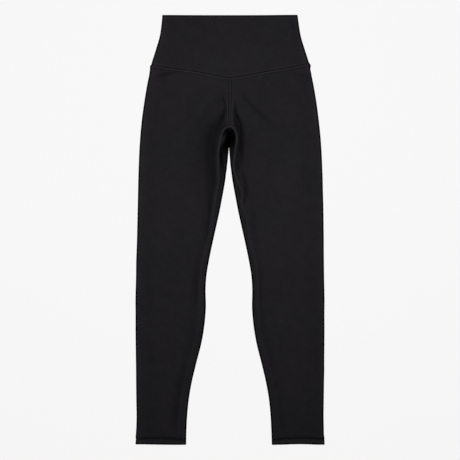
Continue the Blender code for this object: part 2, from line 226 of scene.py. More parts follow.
# How far each outer edge lies from the middle
SIDES = table(Pair, [
    (0, 138.6, 138.5), (19.3, 140.3, 141.05), (43.9, 144.1, 145.25), (68.5, 151.2, 152.6),
    (90, 157.9, 159.5), (96.5, 160, 161.6), (99.5, 160.7, 163.3), (101.5, 161.3, 164.8),
    (103.5, 163.2, 165.4), (106, 163.9, 165.3), (110, 164, 164.75), (117.7, 164.9, 166.15),
    (142.3, 169.65, 170.95), (166.9, 173.85, 175.3), (216.1, 180.75, 182.05), (265.3, 185.05, 186.75),
    (306.3, 186.95, 188.9), (340, 188, 190.1), (356, 188.35, 190.4), (388.3, 189.05, 191.3),
    (436, 190.1, 191.95), (460, 190.65, 192.25), (482, 191.4, 192.3), (503.1, 192.2, 192.5),
    (535, 192.6, 192.9), (585, 193.75, 193.75), (615, 193.55, 193.55), (645, 193.6, 193.7),
    (667.1, 193.4, 193.6), (707, 192.9, 193.25), (725, 192.65, 193.3), (749.1, 192.5, 192.8),
    (795, 191.95, 192.15), (820, 191.5, 191.8), (855, 192.65, 192.45), (860, 193, 192.5),
    (864, 193.5, 193.3), (869.5, 193, 193.6), (875, 193.4, 193.8), (880.5, 193.9, 193.9),
])

# How far each leg's inner edge lies from the middle, on its own side
GAP = table(Pair, [
    (272.8, 2.4, -1.9), (277.6, 2.65, -1.5), (281.7, 3.1, -1.25), (287.8, 3.8, -0.85), (292, 4.15, -0.5),
    (298, 4.6, 0), (308.3, 5.9, 0.8), (314.5, 6.4, 1.7), (322.7, 7.75, 2.7), (339.1, 9.8, 5.05),
    (371.9, 15.6, 11), (404.7, 21.9, 17.3), (437.5, 29.17, 24.55), (470.3, 36.4, 31.87),
    (503.1, 43.2, 38.6), (535.9, 48.4, 43.98), (560, 49.97, 45.5), (601.5, 49.5, 45.2), (634.3, 52.3, 48),
    (667.1, 57.55, 53.2), (716.3, 69.8, 65.25), (749.1, 77.65, 73), (781.9, 83.6, 79),
    (814.7, 87.23, 82.65), (847.5, 89.15, 84.5), (880.5, 89.85, 85.7),
])

# The middle of the light line along the waist seam of the front
Point = namedtuple("Point", "x drop")
WAIST_SEAM = table(Point, [
    (-166, 104.3), (-162.2, 104.8), (-128.7, 110.4), (-94.7, 114.5), (-60.5, 119.6), (-32, 125.6),
    (-5.9, 130.2), (0, 130.6), (7.4, 130.2), (42, 124.4), (76.5, 117.7), (111.1, 112.1), (145.5, 105.4),
    (159.5, 102.1), (166, 101.3),
])

# Each inner seam from the top of the crotch arch round its wavy edge and down the inseam
RIGHT_SEAM = table(Point, [
    (-0.8, 228.8), (-3.4, 229.1), (-6.6, 230.3), (-11.4, 233.5), (-15, 239), (-17.3, 245.8), (-19, 253.5),
    (-20.6, 261.5), (-22.2, 269.4), (-23.4, 278), (-24.2, 286.5), (-24, 297), (-23.9, 310), (-23.3, 325),
    (-23.3, 340), (-24.6, 351.4), (-27, 363.5), (-29.3, 376), (-31.7, 392.4), (-34, 408.8), (-36.9, 428),
    (-40.2, 447.1), (-45.1, 467.2), (-55, 503.1), (-60.4, 548), (-60.8, 600), (-64.6, 640), (-73.8, 683),
    (-91.2, 749), (-100, 798), (-104, 840), (-104.6, 880.5),
])
LEFT_SEAM = table(Point, [
    (-0.8, 228.8), (1.6, 229), (4.2, 229.9), (7.6, 232.6), (10.6, 237.8), (12.8, 244.8), (13.5, 253),
    (13.2, 261.2), (11.8, 269.4), (10.6, 277.6), (9.2, 286), (7.8, 294.5), (7.1, 303), (7.3, 311),
    (8.6, 319), (10.8, 327.5), (13, 335.5), (16, 343.5), (19.6, 351.4), (22.7, 359.6), (23.8, 367.8),
    (23.4, 376), (23, 384.5), (24.3, 392.4), (27.4, 401), (31, 409), (33.6, 418), (35.2, 428),
    (36.2, 441.6), (38.9, 455), (43.4, 473.3), (51.3, 503), (56, 548), (56.3, 600), (60.3, 640),
    (69.5, 683), (86.7, 749), (95.5, 798), (99.6, 840), (100.3, 880.5),
])

# A leg: its sign in x, its inner seam and the drop at which the arch has become the inseam
Side = namedtuple("Side", "name sign seam arch_end")
RIGHT = Side("right", -1, RIGHT_SEAM, 0.3000)
LEFT = Side("left", 1, LEFT_SEAM, 0.3030)

# The seam's ridge: its height, its reach on each leg and inwards, and how light its painted highlight is
Ridge = namedtuple("Ridge", "drop height right left inward right_light left_light")
RIDGE = table(Ridge, [
    (228, 3.8, 2.3, 2.3, 2, 0.34, 0.36),
    (240, 4.2, 2.9, 2.7, 2.8, 0.35, 0.34),
    (262, 4.4, 4, 3.6, 3.2, 0.37, 0.34),
    (298, 3.8, 5.4, 3.6, 3.4, 0.35, 0.24),
    (350, 2.6, 5.2, 3.8, 3.4, 0.26, 0.25),
    (420, 1.8, 4.8, 4.2, 4, 0.18, 0.2),
    (520, 1.2, 5, 5, 4.5, 0.2, 0.2),
    (650, 0.9, 5, 5, 5, 0.15, 0.15),
    (880.5, 0.6, 5, 5, 5, 0.08, 0.08),
])

# Shade of the cloth between an inner seam and the gap between the legs
INSIDE_SHADE = table(Pair, [
    (228, -0.78, -0.78), (234, -0.86, -0.88), (240, -0.93, -0.95), (250, -0.98, -0.96),
    (262, -0.97, -0.89), (268, -0.91, -0.79), (276, -0.84, -0.6), (284, -0.76, -0.52), (296, -0.66, -0.5),
    (310, -0.5, -0.46), (328, -0.32, -0.32), (350, -0.2, -0.2), (400, -0.21, -0.14), (500, -0.1, -0.14),
    (640, -0.05, -0.05), (880.5, 0, 0),
])

# How far the hem's edge lies below its mean place, at distances from the middle
HEM_SAG = {
    "right": table(Point, [(84, 0.1), (112, 0.2), (143, -0.1), (160, -0.4), (176, -0.7), (194, -0.8)]),
    "left": table(Point, [
        (84, 0.2), (95, 0.1), (108, -0.2), (122, -0.7), (143, -1.1), (160, -0.8), (176, -0.2),
        (194, -0.1),
    ]),
}

# Creases: a path of spots, each with its reach to either side, its lift and its shade, if it has any
Spot = namedtuple("Spot", "x drop reach lift shade", defaults=(0.0, 0.0))
LEG_CREASES = {
    "trough from the centre seam to the right thigh": [
        (-15.2, 163, 2.4), (-13.2, 172, 3.2, -0.8, -0.29), (-10.4, 184, 3.4, -1, -0.33),
        (-11, 196, 4.4, -1.2, -0.3), (-18.5, 212.4, 7.5, -1.4, -0.26), (-30, 227, 11, -1.6, -0.24),
        (-40, 241, 13, -1.8, -0.3), (-42.5, 262, 13, -1.8, -0.32), (-43, 292, 12, -1.7, -0.3),
        (-42, 317.1, 11, -1.6, -0.28), (-39.5, 342.6, 9, -1.4, -0.28), (-44.1, 380.5, 8, -1.1, -0.24),
        (-49.2, 418.4, 8, -0.9, -0.18), (-53.5, 456.3, 8, -0.7, -0.13), (-63.5, 497.9, 8, -0.4, -0.06),
        (-75.8, 543, 9),
    ],
    "valley of the right hip": [
        (-18, 176, 10), (-25, 200, 16, -0.4, -0.13), (-34, 225, 20, -0.7, -0.19),
        (-40, 255, 22, -0.8, -0.18), (-42, 290, 20, -0.7, -0.16), (-42, 325, 18, -0.5, -0.12),
        (-43, 375, 14),
    ],
    "shadow over the right side of the arch": [
        (-10, 186, 3), (-13, 203, 5, -0.3, -0.24), (-16, 216, 6, -0.4, -0.3), (-23, 232, 6, -0.4, -0.28),
        (-29, 250, 5.5, -0.4, -0.2), (-31.5, 275, 5, -0.4, -0.22), (-32, 305, 5, -0.4, -0.22),
        (-31.5, 332, 4.5, -0.4, -0.26), (-33.5, 352, 4, -0.3, -0.18), (-38, 385, 5, -0.2, -0.1),
        (-42, 420, 5),
    ],
    "deep line of the left trough": [
        (12.5, 201, 1.6), (15.2, 208, 1.8, -0.2, -0.14), (19.2, 217, 1.9, -0.3, -0.18),
        (21.6, 228, 2, -0.3, -0.18), (21.9, 243, 2, -0.3, -0.17), (21.6, 263, 1.9, -0.3, -0.16),
        (21.4, 285, 1.8, -0.2, -0.12), (21, 299, 1.6),
    ],
    "shadow above the right of the arch": [
        (-6.2, 214, 2.4), (-6.8, 221, 3.2, -0.3, -0.22), (-9.5, 226, 3.4, -0.3, -0.24),
        (-15, 231.5, 3.2, -0.2, -0.18), (-19.5, 238, 3),
    ],
    "valley of the left hip": [
        (9, 182, 5), (13, 206, 6.5, -0.3, -0.1), (19, 232, 8, -0.5, -0.12), (22, 260, 9, -0.5, -0.14),
        (23, 290, 9, -0.4, -0.12), (24, 318, 8),
    ],
    "shadow over the left side of the arch": [
        (7.5, 192, 3), (9.5, 206, 4.5, -0.3, -0.2), (12, 219, 5, -0.4, -0.28),
        (17.5, 232, 4.5, -0.3, -0.16), (20, 244, 4),
    ],
    "trough round the left side of the arch": [
        (11.6, 176, 1.8), (10.8, 185, 2.6, -0.9, -0.44), (11.6, 199, 3.2, -1.3, -0.5),
        (15.8, 209.5, 3.4, -1.5, -0.42), (20.6, 218, 3.8, -1.5, -0.44), (24.2, 234, 4.4, -1.6, -0.46),
        (25.2, 254, 4.8, -1.6, -0.44), (24.8, 277, 5.2, -1.4, -0.42), (21.6, 298, 5.2, -1.2, -0.38),
        (17.2, 314, 4.6, -0.8, -0.3), (14.5, 326, 3.4),
    ],
    "hollow between the left trough and the arch": [
        (8.5, 206, 2.4), (12.5, 224, 3.4, -0.3, -0.3), (18, 243, 3.6, -0.4, -0.28),
        (18.2, 268, 3.4, -0.5, -0.36), (15, 290, 3, -0.5, -0.42), (13, 306, 3, -0.3, -0.42),
        (14, 320, 3.8, -0.2, -0.27), (18, 334, 4.4, -0.2, -0.18), (22.5, 347, 4),
    ],
    "shoulder of the left trough": [
        (30, 196, 7), (38, 218, 9, -0.1, -0.06), (40, 252, 12, -0.2, -0.1), (38, 285, 11, -0.2, -0.09),
        (30, 318, 6),
    ],
    "second trough of the left thigh": [
        (23, 306, 3.5), (26.8, 324, 5, -0.7, -0.24), (31.2, 346, 5.4, -1, -0.38),
        (32.8, 363, 5.2, -1, -0.42), (30.6, 377, 4.2, -0.6, -0.36), (27.6, 386, 3.4, -0.4, -0.3),
        (25, 393, 2.6),
    ],
    "third trough of the left thigh": [
        (41, 393, 3.5), (45.5, 405, 4.5, -0.5, -0.13), (47.6, 423.7, 5, -0.7, -0.16),
        (48.6, 444.6, 5.5, -0.6, -0.13), (53.4, 477.4, 6, -0.5, -0.1), (58.4, 518.4, 7, -0.3, -0.06),
        (60.4, 560, 7),
    ],
    "drag line across the left hip": [
        (17, 155, 3.5), (32, 171, 4.5, -0.6, -0.18), (50.5, 191, 5, -0.9, -0.28),
        (68.5, 209, 5.5, -0.8, -0.26), (85, 223.5, 6.5, -0.3, -0.1), (103, 240, 8),
    ],
    "swell below the right of the waist seam": [
        (-72, 127, 5), (-52, 133, 6, 0.2, 0.06), (-26, 139, 6.5, 0.2, 0.06), (-6, 142, 4),
    ],
    "raised arc on the right hip": [
        (-18, 157, 3.5), (-36, 165, 4.5, 0.3, 0.04), (-52, 177, 5, 0.4, 0.07), (-60, 192, 5, 0.3, 0.05),
        (-66, 212, 6),
    ],
    "drag arc on the right hip": [
        (-34, 180, 4), (-46, 190, 6, -0.3, -0.07), (-58, 207, 8, -0.4, -0.1), (-64, 226, 8, -0.3, -0.08),
        (-66, 250, 8),
    ],
    "outer arc on the right hip": [
        (-30, 150, 4), (-52, 161, 5, -0.2, -0.04), (-72, 180, 6, -0.2, -0.04), (-84, 206, 7),
    ],
    "tuck below the right end of the waist seam": [
        (-163.5, 133, 2.8), (-151.5, 128.2, 3, -0.4, -0.14), (-140, 123.6, 3, -0.8, -0.28),
        (-129, 120.4, 2.8, -0.8, -0.38), (-118, 118.8, 2.4, -0.5, -0.34), (-105, 117.5, 2),
    ],
    "soft dip at the left end of the waist seam": [
        (158, 110, 8), (162, 132, 11, -0.2, -0.09), (160, 156, 10),
    ],
    "soft dip below the right end of the waist seam": [
        (-160, 128, 7), (-164, 150, 9, -0.2, -0.08), (-166, 184, 8),
    ],
    "tuck below the left end of the waist seam": [
        (122, 117.5, 2.2), (133, 120.5, 2.6, -0.3, -0.1), (146, 123.5, 3.4, -0.4, -0.13),
        (158, 126, 4, -0.3, -0.1), (168, 130, 3.4),
    ],
    "soft dip on the left hip": [
        (106, 128, 8), (119, 147, 10, -0.4, -0.06), (133, 165, 11, -0.4, -0.06), (146, 186, 9),
    ],
    "line down the inside of the right thigh": [
        (-41, 350, 3), (-40, 372, 3.4, -0.2, -0.16), (-41.5, 398, 3.8, -0.3, -0.28),
        (-43.5, 424, 3.8, -0.3, -0.3), (-46.5, 447, 3.8, -0.2, -0.25), (-50.5, 472, 3.4),
    ],
    "inner calf of the right leg": [
        (-62, 492, 7), (-68, 530, 8.8, -0.5, -0.28), (-69.5, 565, 8.8, -0.4, -0.27),
        (-73, 610, 9, -0.4, -0.12), (-78.5, 655, 9.5, -0.7, -0.16), (-90, 700, 8, -0.9, -0.14),
        (-99.5, 745, 9, -1, -0.24), (-106.5, 787, 8, -1, -0.24), (-111, 824, 9, -0.8, -0.25),
        (-110, 866, 8),
    ],
    "inner calf of the left leg": [
        (56, 505, 6), (59.5, 540, 7.5, -0.4, -0.25), (60, 572, 8, -0.4, -0.24),
        (62, 604.5, 8, -0.4, -0.11), (67, 645.5, 8, -0.6, -0.13), (77, 686.5, 8, -0.7, -0.12),
        (86, 727.5, 7.5, -0.7, -0.12), (93.5, 768.5, 7.5, -0.7, -0.12), (99, 805, 7, -0.6, -0.11),
        (105, 838, 9, -0.5, -0.17), (106, 876, 8),
    ],
    "dip on the right hip": [(-108, 158, 9), (-122, 166, 17, -0.4, -0.08), (-142, 176, 9)],
    "soft hollow beside the yoke": [(-18, 160, 5), (-22, 173, 8, -0.2, -0.17), (-30, 190, 7)],
    "long hollow of the right thigh": [
        (-78, 176, 16), (-80, 210, 18, -0.2, -0.05), (-76, 248, 20, -0.3, -0.08),
        (-70, 305, 20, -0.4, -0.12), (-68, 355, 20, -0.3, -0.09), (-64, 405, 16),
    ],
    "fullness of the left thigh": [
        (112, 232, 22), (128, 270, 26, 0.3, 0.06), (130, 315, 30, 0.4, 0.08), (112, 375, 34, 0.4, 0.08),
        (108, 430, 30, 0.2, 0.07), (106, 480, 24),
    ],
    "swell down the inside of the left thigh": [
        (58, 392, 12), (72, 422, 18, 0.2, 0.05), (82, 472, 20, 0.2, 0.05), (88, 530, 18, 0.2, 0.04),
        (92, 575, 14),
    ],
    "swell over the left knee": [
        (74, 612, 12), (92, 622, 16, 0.2, 0.09), (116, 616, 18, 0.3, 0.1), (146, 608, 14),
    ],
    "swell over the right knee": [
        (-150, 388, 14), (-147, 430, 18, 0.3, 0.06), (-149, 482, 20, 0.3, 0.07),
        (-155, 515, 17, 0.2, 0.05), (-150, 556, 14),
    ],
    "soft strip down the outside of the left calf": [
        (177, 582, 8), (179, 624, 9, -0.2, -0.05), (178, 700, 10, -0.2, -0.06),
        (178, 770, 9, -0.2, -0.05), (177, 856, 8),
    ],
    "knee of the right leg": [
        (-176, 560, 9), (-140, 574, 10, -0.3, -0.03), (-104, 580, 10, -0.3, -0.03), (-76, 572, 8),
    ],
    "shin of the right leg": [
        (-182, 702, 8), (-158, 707, 9, -0.3, -0.04), (-130, 706, 9, -0.2, -0.03), (-108, 699, 8),
    ],
    "knee of the left leg": [
        (82, 566, 9), (112, 577, 10, -0.3, -0.03), (146, 574, 10, -0.3, -0.03), (178, 560, 9),
    ],
}
INSIDE_CREASES = {
    "pucker off the right seam": [
        (-22.5, 272, 2.6), (-20.4, 264.5, 3.6, 1.8, 0.75), (-17, 257.5, 3.8, 2.2, 1.25),
        (-13.6, 252.5, 3.6, 2, 1.02), (-11.4, 247.5, 2.7, 1.2, 0.62), (-10.2, 242.5, 2.2, 0.6, 0.35),
        (-9.4, 238, 1.8),
    ],
    "pit above the gap between the legs": [
        (-2.2, 255, 3), (-2.2, 263, 4.2, -0.2, -0.07), (-2.2, 270.5, 4.4, -0.2, -0.13), (-2.2, 277, 3),
    ],
    "end of the centre seam": [(-0.8, 231, 1.8, 0.4, 0.14), (-0.8, 234, 2, 0.3, 0.16), (-0.8, 237, 2)],
    "fold of the right gusset": [
        (-11.2, 276, 2.2), (-11, 288, 2.4, 0.5, 0.12), (-10.4, 303, 2.2, 0.6, 0.16),
        (-9.6, 316, 2, 0.4, 0.14), (-9.6, 328, 2),
    ],
    "dark fold beside the right seam": [
        (-20.5, 275, 2), (-18.6, 288, 2.6, -0.3, -0.14), (-16.2, 303, 2.4, -0.3, -0.16),
        (-13.6, 318.6, 2.2, -0.3, -0.22), (-14.2, 334, 2, -0.2, -0.14), (-16.5, 348, 2),
    ],
    "pit of the left gusset": [
        (14, 347, 2.4), (19, 359, 3.2, -0.5, -0.22), (20.8, 368, 3, -0.4, -0.16), (21.5, 380, 2.4),
    ],
    "lower pit of the left leg": [
        (22, 396, 2.4), (27, 408, 3, -0.3, -0.06), (31, 424, 3, -0.2, -0.04), (34, 445, 2.6),
    ],
}
BACK_CREASES = {
    "fold under the right seat": [
        (-14, 266, 4), (-40, 286, 6, 0.6, -0.18), (-76, 297, 7.5, 0.7, -0.18), (-112, 292, 7, 0.4, -0.1),
        (-142, 280, 6),
    ],
    "second fold under the right seat": [
        (-27, 296, 4), (-50, 311, 5.5, 0.4, -0.12), (-82, 316, 6, 0.3, -0.08), (-104, 310, 5),
    ],
    "fold under the left seat": [
        (12, 270, 4), (36, 292, 6.5, 0.7, -0.2), (70, 304, 8, 0.6, -0.16), (122, 294, 7),
    ],
    "short fold under the left seat": [(30, 318, 4), (54, 329, 5, 0.3, -0.1), (84, 326, 5)],
    "drag line off the back seam on the right": [(-7, 182, 4), (-27, 204, 6, 0.4, -0.1), (-50, 236, 8)],
    "drag line off the back seam on the left": [(6, 198, 4), (22, 222, 6, 0.5, -0.12), (40, 256, 8)],
    "crease behind the right knee": [
        (-178, 548, 5), (-142, 561, 6.5, 0.6, -0.14), (-104, 558, 7, 0.5, -0.12), (-68, 543, 5),
    ],
    "lower crease behind the right knee": [(-152, 587, 5), (-122, 596, 6, 0.3, -0.08), (-90, 588, 5)],
    "crease behind the left knee": [
        (70, 553, 5), (106, 568, 7, 0.6, -0.13), (148, 566, 7, 0.5, -0.11), (178, 554, 5),
    ],
    "upper crease behind the left knee": [(92, 531, 5), (121, 539, 6, 0.3, -0.07), (152, 535, 5)],
    "line down the right calf": [(-118, 680, 6), (-124, 724, 8, 0.3, -0.06), (-136, 778, 7)],
    "line down the left calf": [(110, 668, 6), (119, 706, 8, 0.3, -0.07), (124, 752, 7)],
}
BAND_CREASES = {
    "drag line from the right corner": [
        (-127, 6, 5), (-118, 15, 6, -0.4, -0.09), (-103, 34, 8, -0.5, -0.08), (-84, 56, 10),
    ],
    "second drag line from the right corner": [
        (-104, 2, 7), (-82, 12, 9, -0.4, -0.09), (-54, 26, 9, -0.4, -0.08), (-30, 37, 9, -0.2, -0.03),
        (-8, 42, 9),
    ],
    "drag line from the left corner": [
        (84, 0, 7), (67, 9, 8, -0.3, -0.02), (48, 26, 9, 0.1, 0.02), (32, 42, 9),
    ],
    "soft dip in the right corner": [(-122, 2, 7), (-133, 9, 8, -0.2, -0.08), (-137, 24, 7)],
    "soft dip in the left corner": [(120, 1, 7), (134, 8, 8, -0.2, -0.07), (140, 20, 7)],
    "soft strip inside the left edge": [
        (127, 2, 5), (130.5, 16, 6, -0.5, -0.15), (133.5, 42, 8, -0.5, -0.16), (140, 68, 8, -0.3, -0.11),
        (148, 88, 5),
    ],
    "soft strip inside the right edge": [(-139, 48, 5), (-143, 66, 7, -0.2, -0.06), (-150, 90, 5)],
    "light spot on the left of the band": [(56, 80, 5), (66, 78, 7, 0.2, 0.06), (76, 76, 5)],
    "hollow at the left end of the waist seam": [(120, 92, 5), (138, 96, 7, -0.3, -0.11), (153, 97, 5)],
    "swell above the middle of the waist seam": [
        (-88, 98, 16), (-44, 100, 24, 0.4, 0.07), (-5, 98, 24, 0.4, 0.09), (38, 84, 20, 0.4, 0.06),
        (74, 84, 18, 0.3, 0.08), (112, 80, 14),
    ],
}

# Waves of the cloth as it lies: height in millimetres, and metres that a wave takes across and down
Wave = namedtuple("Wave", "height across down start")
WAVES = table(Wave, [(0.22, 0.31, 0.17, 0.4), (0.18, -0.19, 0.26, 1.7), (0.12, 0.11, 0.13, 2.9)])

# Steps of the grids, in millimetres from a seam or fold
SEAM_COLUMNS = [0.0, 0.5, 1.0, 1.5, 2.0, 2.6, 3.2, 4.0, 5.0, 6.2, 7.6, 9.3, 11.3, 13.6, 16.2]
MIDDLE_COLUMNS = 42
FOLD_SIDE_COLUMNS = [12.0, 9.6, 7.6, 6.0, 4.8, 3.8, 3.0, 2.3, 1.6, 0.8, 0.0]
FOLD_COLUMNS = 8
FOLD_TURNS = pi * np.arange(1, FOLD_COLUMNS + 1) / FOLD_COLUMNS
BACK_COLUMNS = 27
BACK_SEAM_COLUMNS = [16.0, 12.0, 9.0, 7.0, 5.4, 4.2, 3.2, 2.4, 1.6, 0.8, 0.0]
STRIP_COLUMNS = 12
WAIST_ROWS = [0.0, 0.4, 0.8, 1.3, 1.9, 2.5, 3.1, 3.7, 4.3, 4.8, 5.2, 5.7, 6.4, 7.4, 8.8, 10.6, 12.8]
HEM_ROWS = [30.0, 27.5, 25.0, 23.0, 21.2, 19.7, 18.4, 17.3, 16.3, 15.4, 14.6, 13.8, 13.0, 12.2, 11.2,
            10.0, 8.6, 7.2, 5.8, 4.4, 3.2, 2.2, 1.5]
APEX_ROWS = [12.2, 9.8, 7.8, 6.2, 4.9, 3.8, 2.9, 2.1, 1.4, 0.8, 0.3, 0.0]
ROW_STEP = 0.0028
TURN_STEPS = 6
TURN_UP_ROWS = 4
GUSSET_COLUMNS = [0.0, 0.4, 0.8, 1.3, 1.9, 2.6, 3.4, 4.3, 5.4, 6.7]
GUSSET_MIDDLE_COLUMNS = 8
UNDER_COLUMNS = 4
BAND_COLUMNS = 112
BAND_ROWS = [0.0, 0.004, 0.009, 0.015, 0.022, 0.031, 0.042, 0.056, 0.074, 0.098]
BAND_MIDDLE_ROWS = 24
BAND_TOP_ROWS = [0.90, 0.93, 0.952, 0.968, 0.979, 0.985]

# Rows over which a leg's front straightens below the arch, how rows and columns crowd, points of lines
STRAIGHTEN_ROWS = 30.0
GUSSET_SPREAD = 1.4
GUSSET_NARROW = 0.012
NOTCH_POINTS = 6
GAP_POINTS = 60
LINE_POINTS = 40
BAND_SPREAD = 1.35
LINING_ROWS = [0.96, 0.86, 0.7, 0.5, 0.3, 0.12, 0.01]
PATH_STEP = 0.001
CREASE_STEP = 0.004

# Stage
FLOOR_SIZE = 40.0
FLOOR_DROP = 0.0003
FLOOR_TINT = (1.0, 0.996, 0.999, 1.0)
BACKDROP_GLOW = 0.93
SOFTBOX_SIZE = (1.4, 1.1)
SOFTBOX_PLACE = (0.0, 0.25, 1.2)
SOFTBOX_TILT = radians(20)
PICTURE_MIDDLE = -0.0003


def smooth(knots, values, at):
    """Values read at any places, on a smooth curve through the given ones."""
    knots = np.asarray(knots, float)
    values = np.asarray(values, float)
    slopes = np.gradient(values, knots)
    at = np.clip(at, knots[0], knots[-1])
    i = np.clip(np.searchsorted(knots, at, side="right") - 1, 0, len(knots) - 2)
    span = knots[i + 1] - knots[i]
    t = (at - knots[i]) / span
    bend = t * t * (3 - 2 * t)
    leave = span * t * (1 - t) ** 2 * slopes[i]
    arrive = span * t * t * (t - 1) * slopes[i + 1]
    return values[i] + bend * (values[i + 1] - values[i]) + leave + arrive


def along(table, column, drop, unit=MM):
    """One column of a table, read at any drops in metres."""
    knots = [row.drop * MM for row in table]
    return smooth(knots, [getattr(row, column) * unit for row in table], drop)


def bell(distance, reach):
    """A smooth hump, 1 at no distance."""
    return np.exp(-((distance / reach) ** 2))


def drawn(line, distance):
    """Shade or lift of a line at a distance from its seam or edge."""
    return line.shade * bell(distance - line.place, line.reach)


def ease(t):
    """A smooth rise from 0 to 1."""
    t = np.clip(t, 0.0, 1.0)
    return t * t * (3 - 2 * t)


def risen(ramp, distance):
    """How far a ramp has risen at a distance."""
    return ease((distance - ramp.start) / ramp.length)


def lengths_along(points):
    """Distance of each point of a path from its start."""
    return np.concatenate([[0.0], np.cumsum(np.linalg.norm(np.diff(points, axis=0), axis=1))])


def even_path(points, step):
    """A smooth path through points, as places a step apart."""
    points = np.asarray(points, float)
    chord = lengths_along(points)
    fine = np.linspace(0, chord[-1], max(int(chord[-1] / (step / 4)), 8))
    curve = np.column_stack([smooth(chord, points[:, k], fine) for k in range(points.shape[1])])
    length = lengths_along(curve)
    places = np.linspace(0, length[-1], max(int(round(length[-1] / step)), 2) + 1)
    return np.column_stack([np.interp(places, length, curve[:, k]) for k in range(points.shape[1])])


def unit(ways):
    """Ways of a length of 1, one to a row."""
    return ways / np.linalg.norm(ways, axis=1)[:, None]


def nearest(x, drop, path):
    """Distance of each place from a path, and the distance along the path of its nearest point."""
    points = np.column_stack([x.ravel(), drop.ravel()])
    start = lengths_along(path)
    gap = np.full(len(points), np.inf)
    place = np.zeros(len(points))
    for k in range(len(path) - 1):
        way = path[k + 1] - path[k]
        length2 = way @ way
        t = np.clip((points - path[k]) @ way / length2, 0, 1)
        apart = np.linalg.norm(points - path[k] - t[:, None] * way, axis=1)
        closer = apart < gap
        gap[closer] = apart[closer]
        place[closer] = start[k] + t[closer] * (start[k + 1] - start[k])
    return gap.reshape(x.shape), place.reshape(x.shape)


def in_metres(points):
    """Places of a table's rows, as x and drop in metres."""
    return np.array([(p.x, p.drop) for p in points]) * MM


SEAM_PATHS = {side.name: even_path(in_metres(side.seam), PATH_STEP) for side in (RIGHT, LEFT)}
BOTH_SEAMS = np.vstack([SEAM_PATHS["right"][::-1], SEAM_PATHS["left"][1:]])[::2]


def crease_relief(creases, x, drop):
    """Lift in metres and shade of a set of creases at places."""
    lift = np.zeros(x.shape)
    shade = np.zeros(x.shape)
    for rows in creases.values():
        spots = table(Spot, rows)
        places = in_metres(spots)
        knots = lengths_along(places)
        path = even_path(places, CREASE_STEP)
        gap, place = nearest(x, drop, path)
        place *= knots[-1] / max(lengths_along(path)[-1], knots[-1])
        reach = np.interp(place, knots, [s.reach * MM for s in spots])
        hump = bell(gap, reach)
        lift += hump * smooth(knots, [s.lift * MM for s in spots], place)
        shade += hump * smooth(knots, [s.shade for s in spots], place)
    return lift, shade


def waves(x, drop):
    """The cloth's own low waves."""
    total = np.zeros_like(x)
    for wave in WAVES:
        total += wave.height * MM * np.sin(2 * pi * (x / wave.across + drop / wave.down) + wave.start)
    return total


def outer_width(side, drop):
    """Distance of the outer edge from the middle."""
    return along(SIDES, side.name, drop)


def gap_x(side, drop):
    """x of a leg's inner edge."""
    return side.sign * along(GAP, side.name, np.maximum(drop, NOTCH[1]))


def waist_edge(x):
    """Drop of the ditch between the waistband and the legs."""
    return smooth(*in_metres(WAIST_SEAM).T, x) - DITCH


def waist_side(side):
    """Drop of the ditch at the outer edge."""
    return waist_edge(side.sign * WAIST_END)


def hem_line(side, x):
    """Drop of the hem's upper edge, which arches up between its ends."""
    inner = abs(side.seam[-1].x) * MM
    middle = (inner + SIDES[-1].right * MM) / 2
    half = SIDES[-1].right * MM - middle
    return LENGTH - HEM_DEPTH - HEM_ARCH * (1 - ((np.abs(x) - middle) / half) ** 2)


def hem_sag(side, x, drop):
    """How far the hem's edge pulls the cloth down or up from its mean place."""
    sag = smooth(*in_metres(HEM_SAG[side.name]).T, np.abs(x))
    return sag * risen(HEM_PULL, drop - LENGTH)


def leg_relief(side, x, drop, inside):
    """Height and shade of the upper face of a leg, or of the cloth inside its seam."""
    gap = nearest(x, drop, BOTH_SEAMS)[0]
    height = along(RIDGE, "height", drop)
    crest = np.maximum(gap - CREST, 0.0)
    # Painted highlight along the seam's ridge; the creases and the hollow inside the seam get painted
    # shade
    light = along(RIDGE, side.name + "_light", drop, 1.0)
    mound = MOUND_HEIGHT * bell(drop - MOUND_DROP, MOUND_LENGTH)
    outward = along(RIDGE, side.name, drop)
    if inside:
        floor = LEG_HEIGHT * INSIDE_FLOOR
        z = floor + (LEG_HEIGHT + height + mound - floor) * bell(crest, along(RIDGE, "inward", drop))
        lift, fold_shade = crease_relief(INSIDE_CREASES, x, drop)
        z += risen(INSIDE_LIFT, gap) * lift
        fold_shade += along(INSIDE_SHADE, side.name, drop, 1.0)
        shade = light * bell(gap, SEAM_LIGHT_REACH) + risen(INSIDE_SHADE_RAMP, gap) * fold_shade
    else:
        lift, shade = crease_relief(LEG_CREASES, x, drop)
        z = LEG_HEIGHT + height * bell(crest, outward) + mound * bell(gap, MOUND_REACH)
        z += risen(LEG_LIFT, gap) * (lift + waves(x, drop))
        shade = risen(LEG_SHADE_RAMP, gap) * shade + light * bell(gap, outward)
    shade = shade * (1 - risen(CALM_HEM, drop - LENGTH) * CALM_SHARE)
    below = drop - waist_edge(x)
    seam_rise = drawn(SEAM_RISE, np.maximum(below, STITCH_ROW))
    z = z + seam_rise * risen(WAIST_STEP, np.maximum(below, 0.0))
    hem_top = hem_line(side, x)
    hem = risen(HEM_STEP, drop - hem_top)
    z = z * (1 - hem) + HEM_HEIGHT * hem
    z += drawn(HEM_GROOVE, drop - hem_top)
    from_side = outer_width(side, drop) - np.abs(x)
    z += (1 - hem) * drawn(EDGE_SWELL, from_side)
    return above_back(z), shade + leg_marks(side, x, drop, from_side)


def above_back(z):
    """Height of the front layer, held clear of the back one."""
    spare = z - FRONT_LOWEST
    return FRONT_LOWEST + (spare + np.sqrt(spare ** 2 + FRONT_SOFTNESS ** 2)) / 2


def rim_shade(distance, dark=RIM_DARK):
    """Shade of a rounded edge, dark as far as it turns away, and of the light line inside it."""
    return drawn(RIM_LIGHT, distance) + drawn(dark, np.maximum(distance, dark.place))


def centre_line(drop):
    """x of the centre front seam."""
    edge = waist_edge(0.0)
    return APEX[0] * (drop - edge) / (APEX[1] - edge)


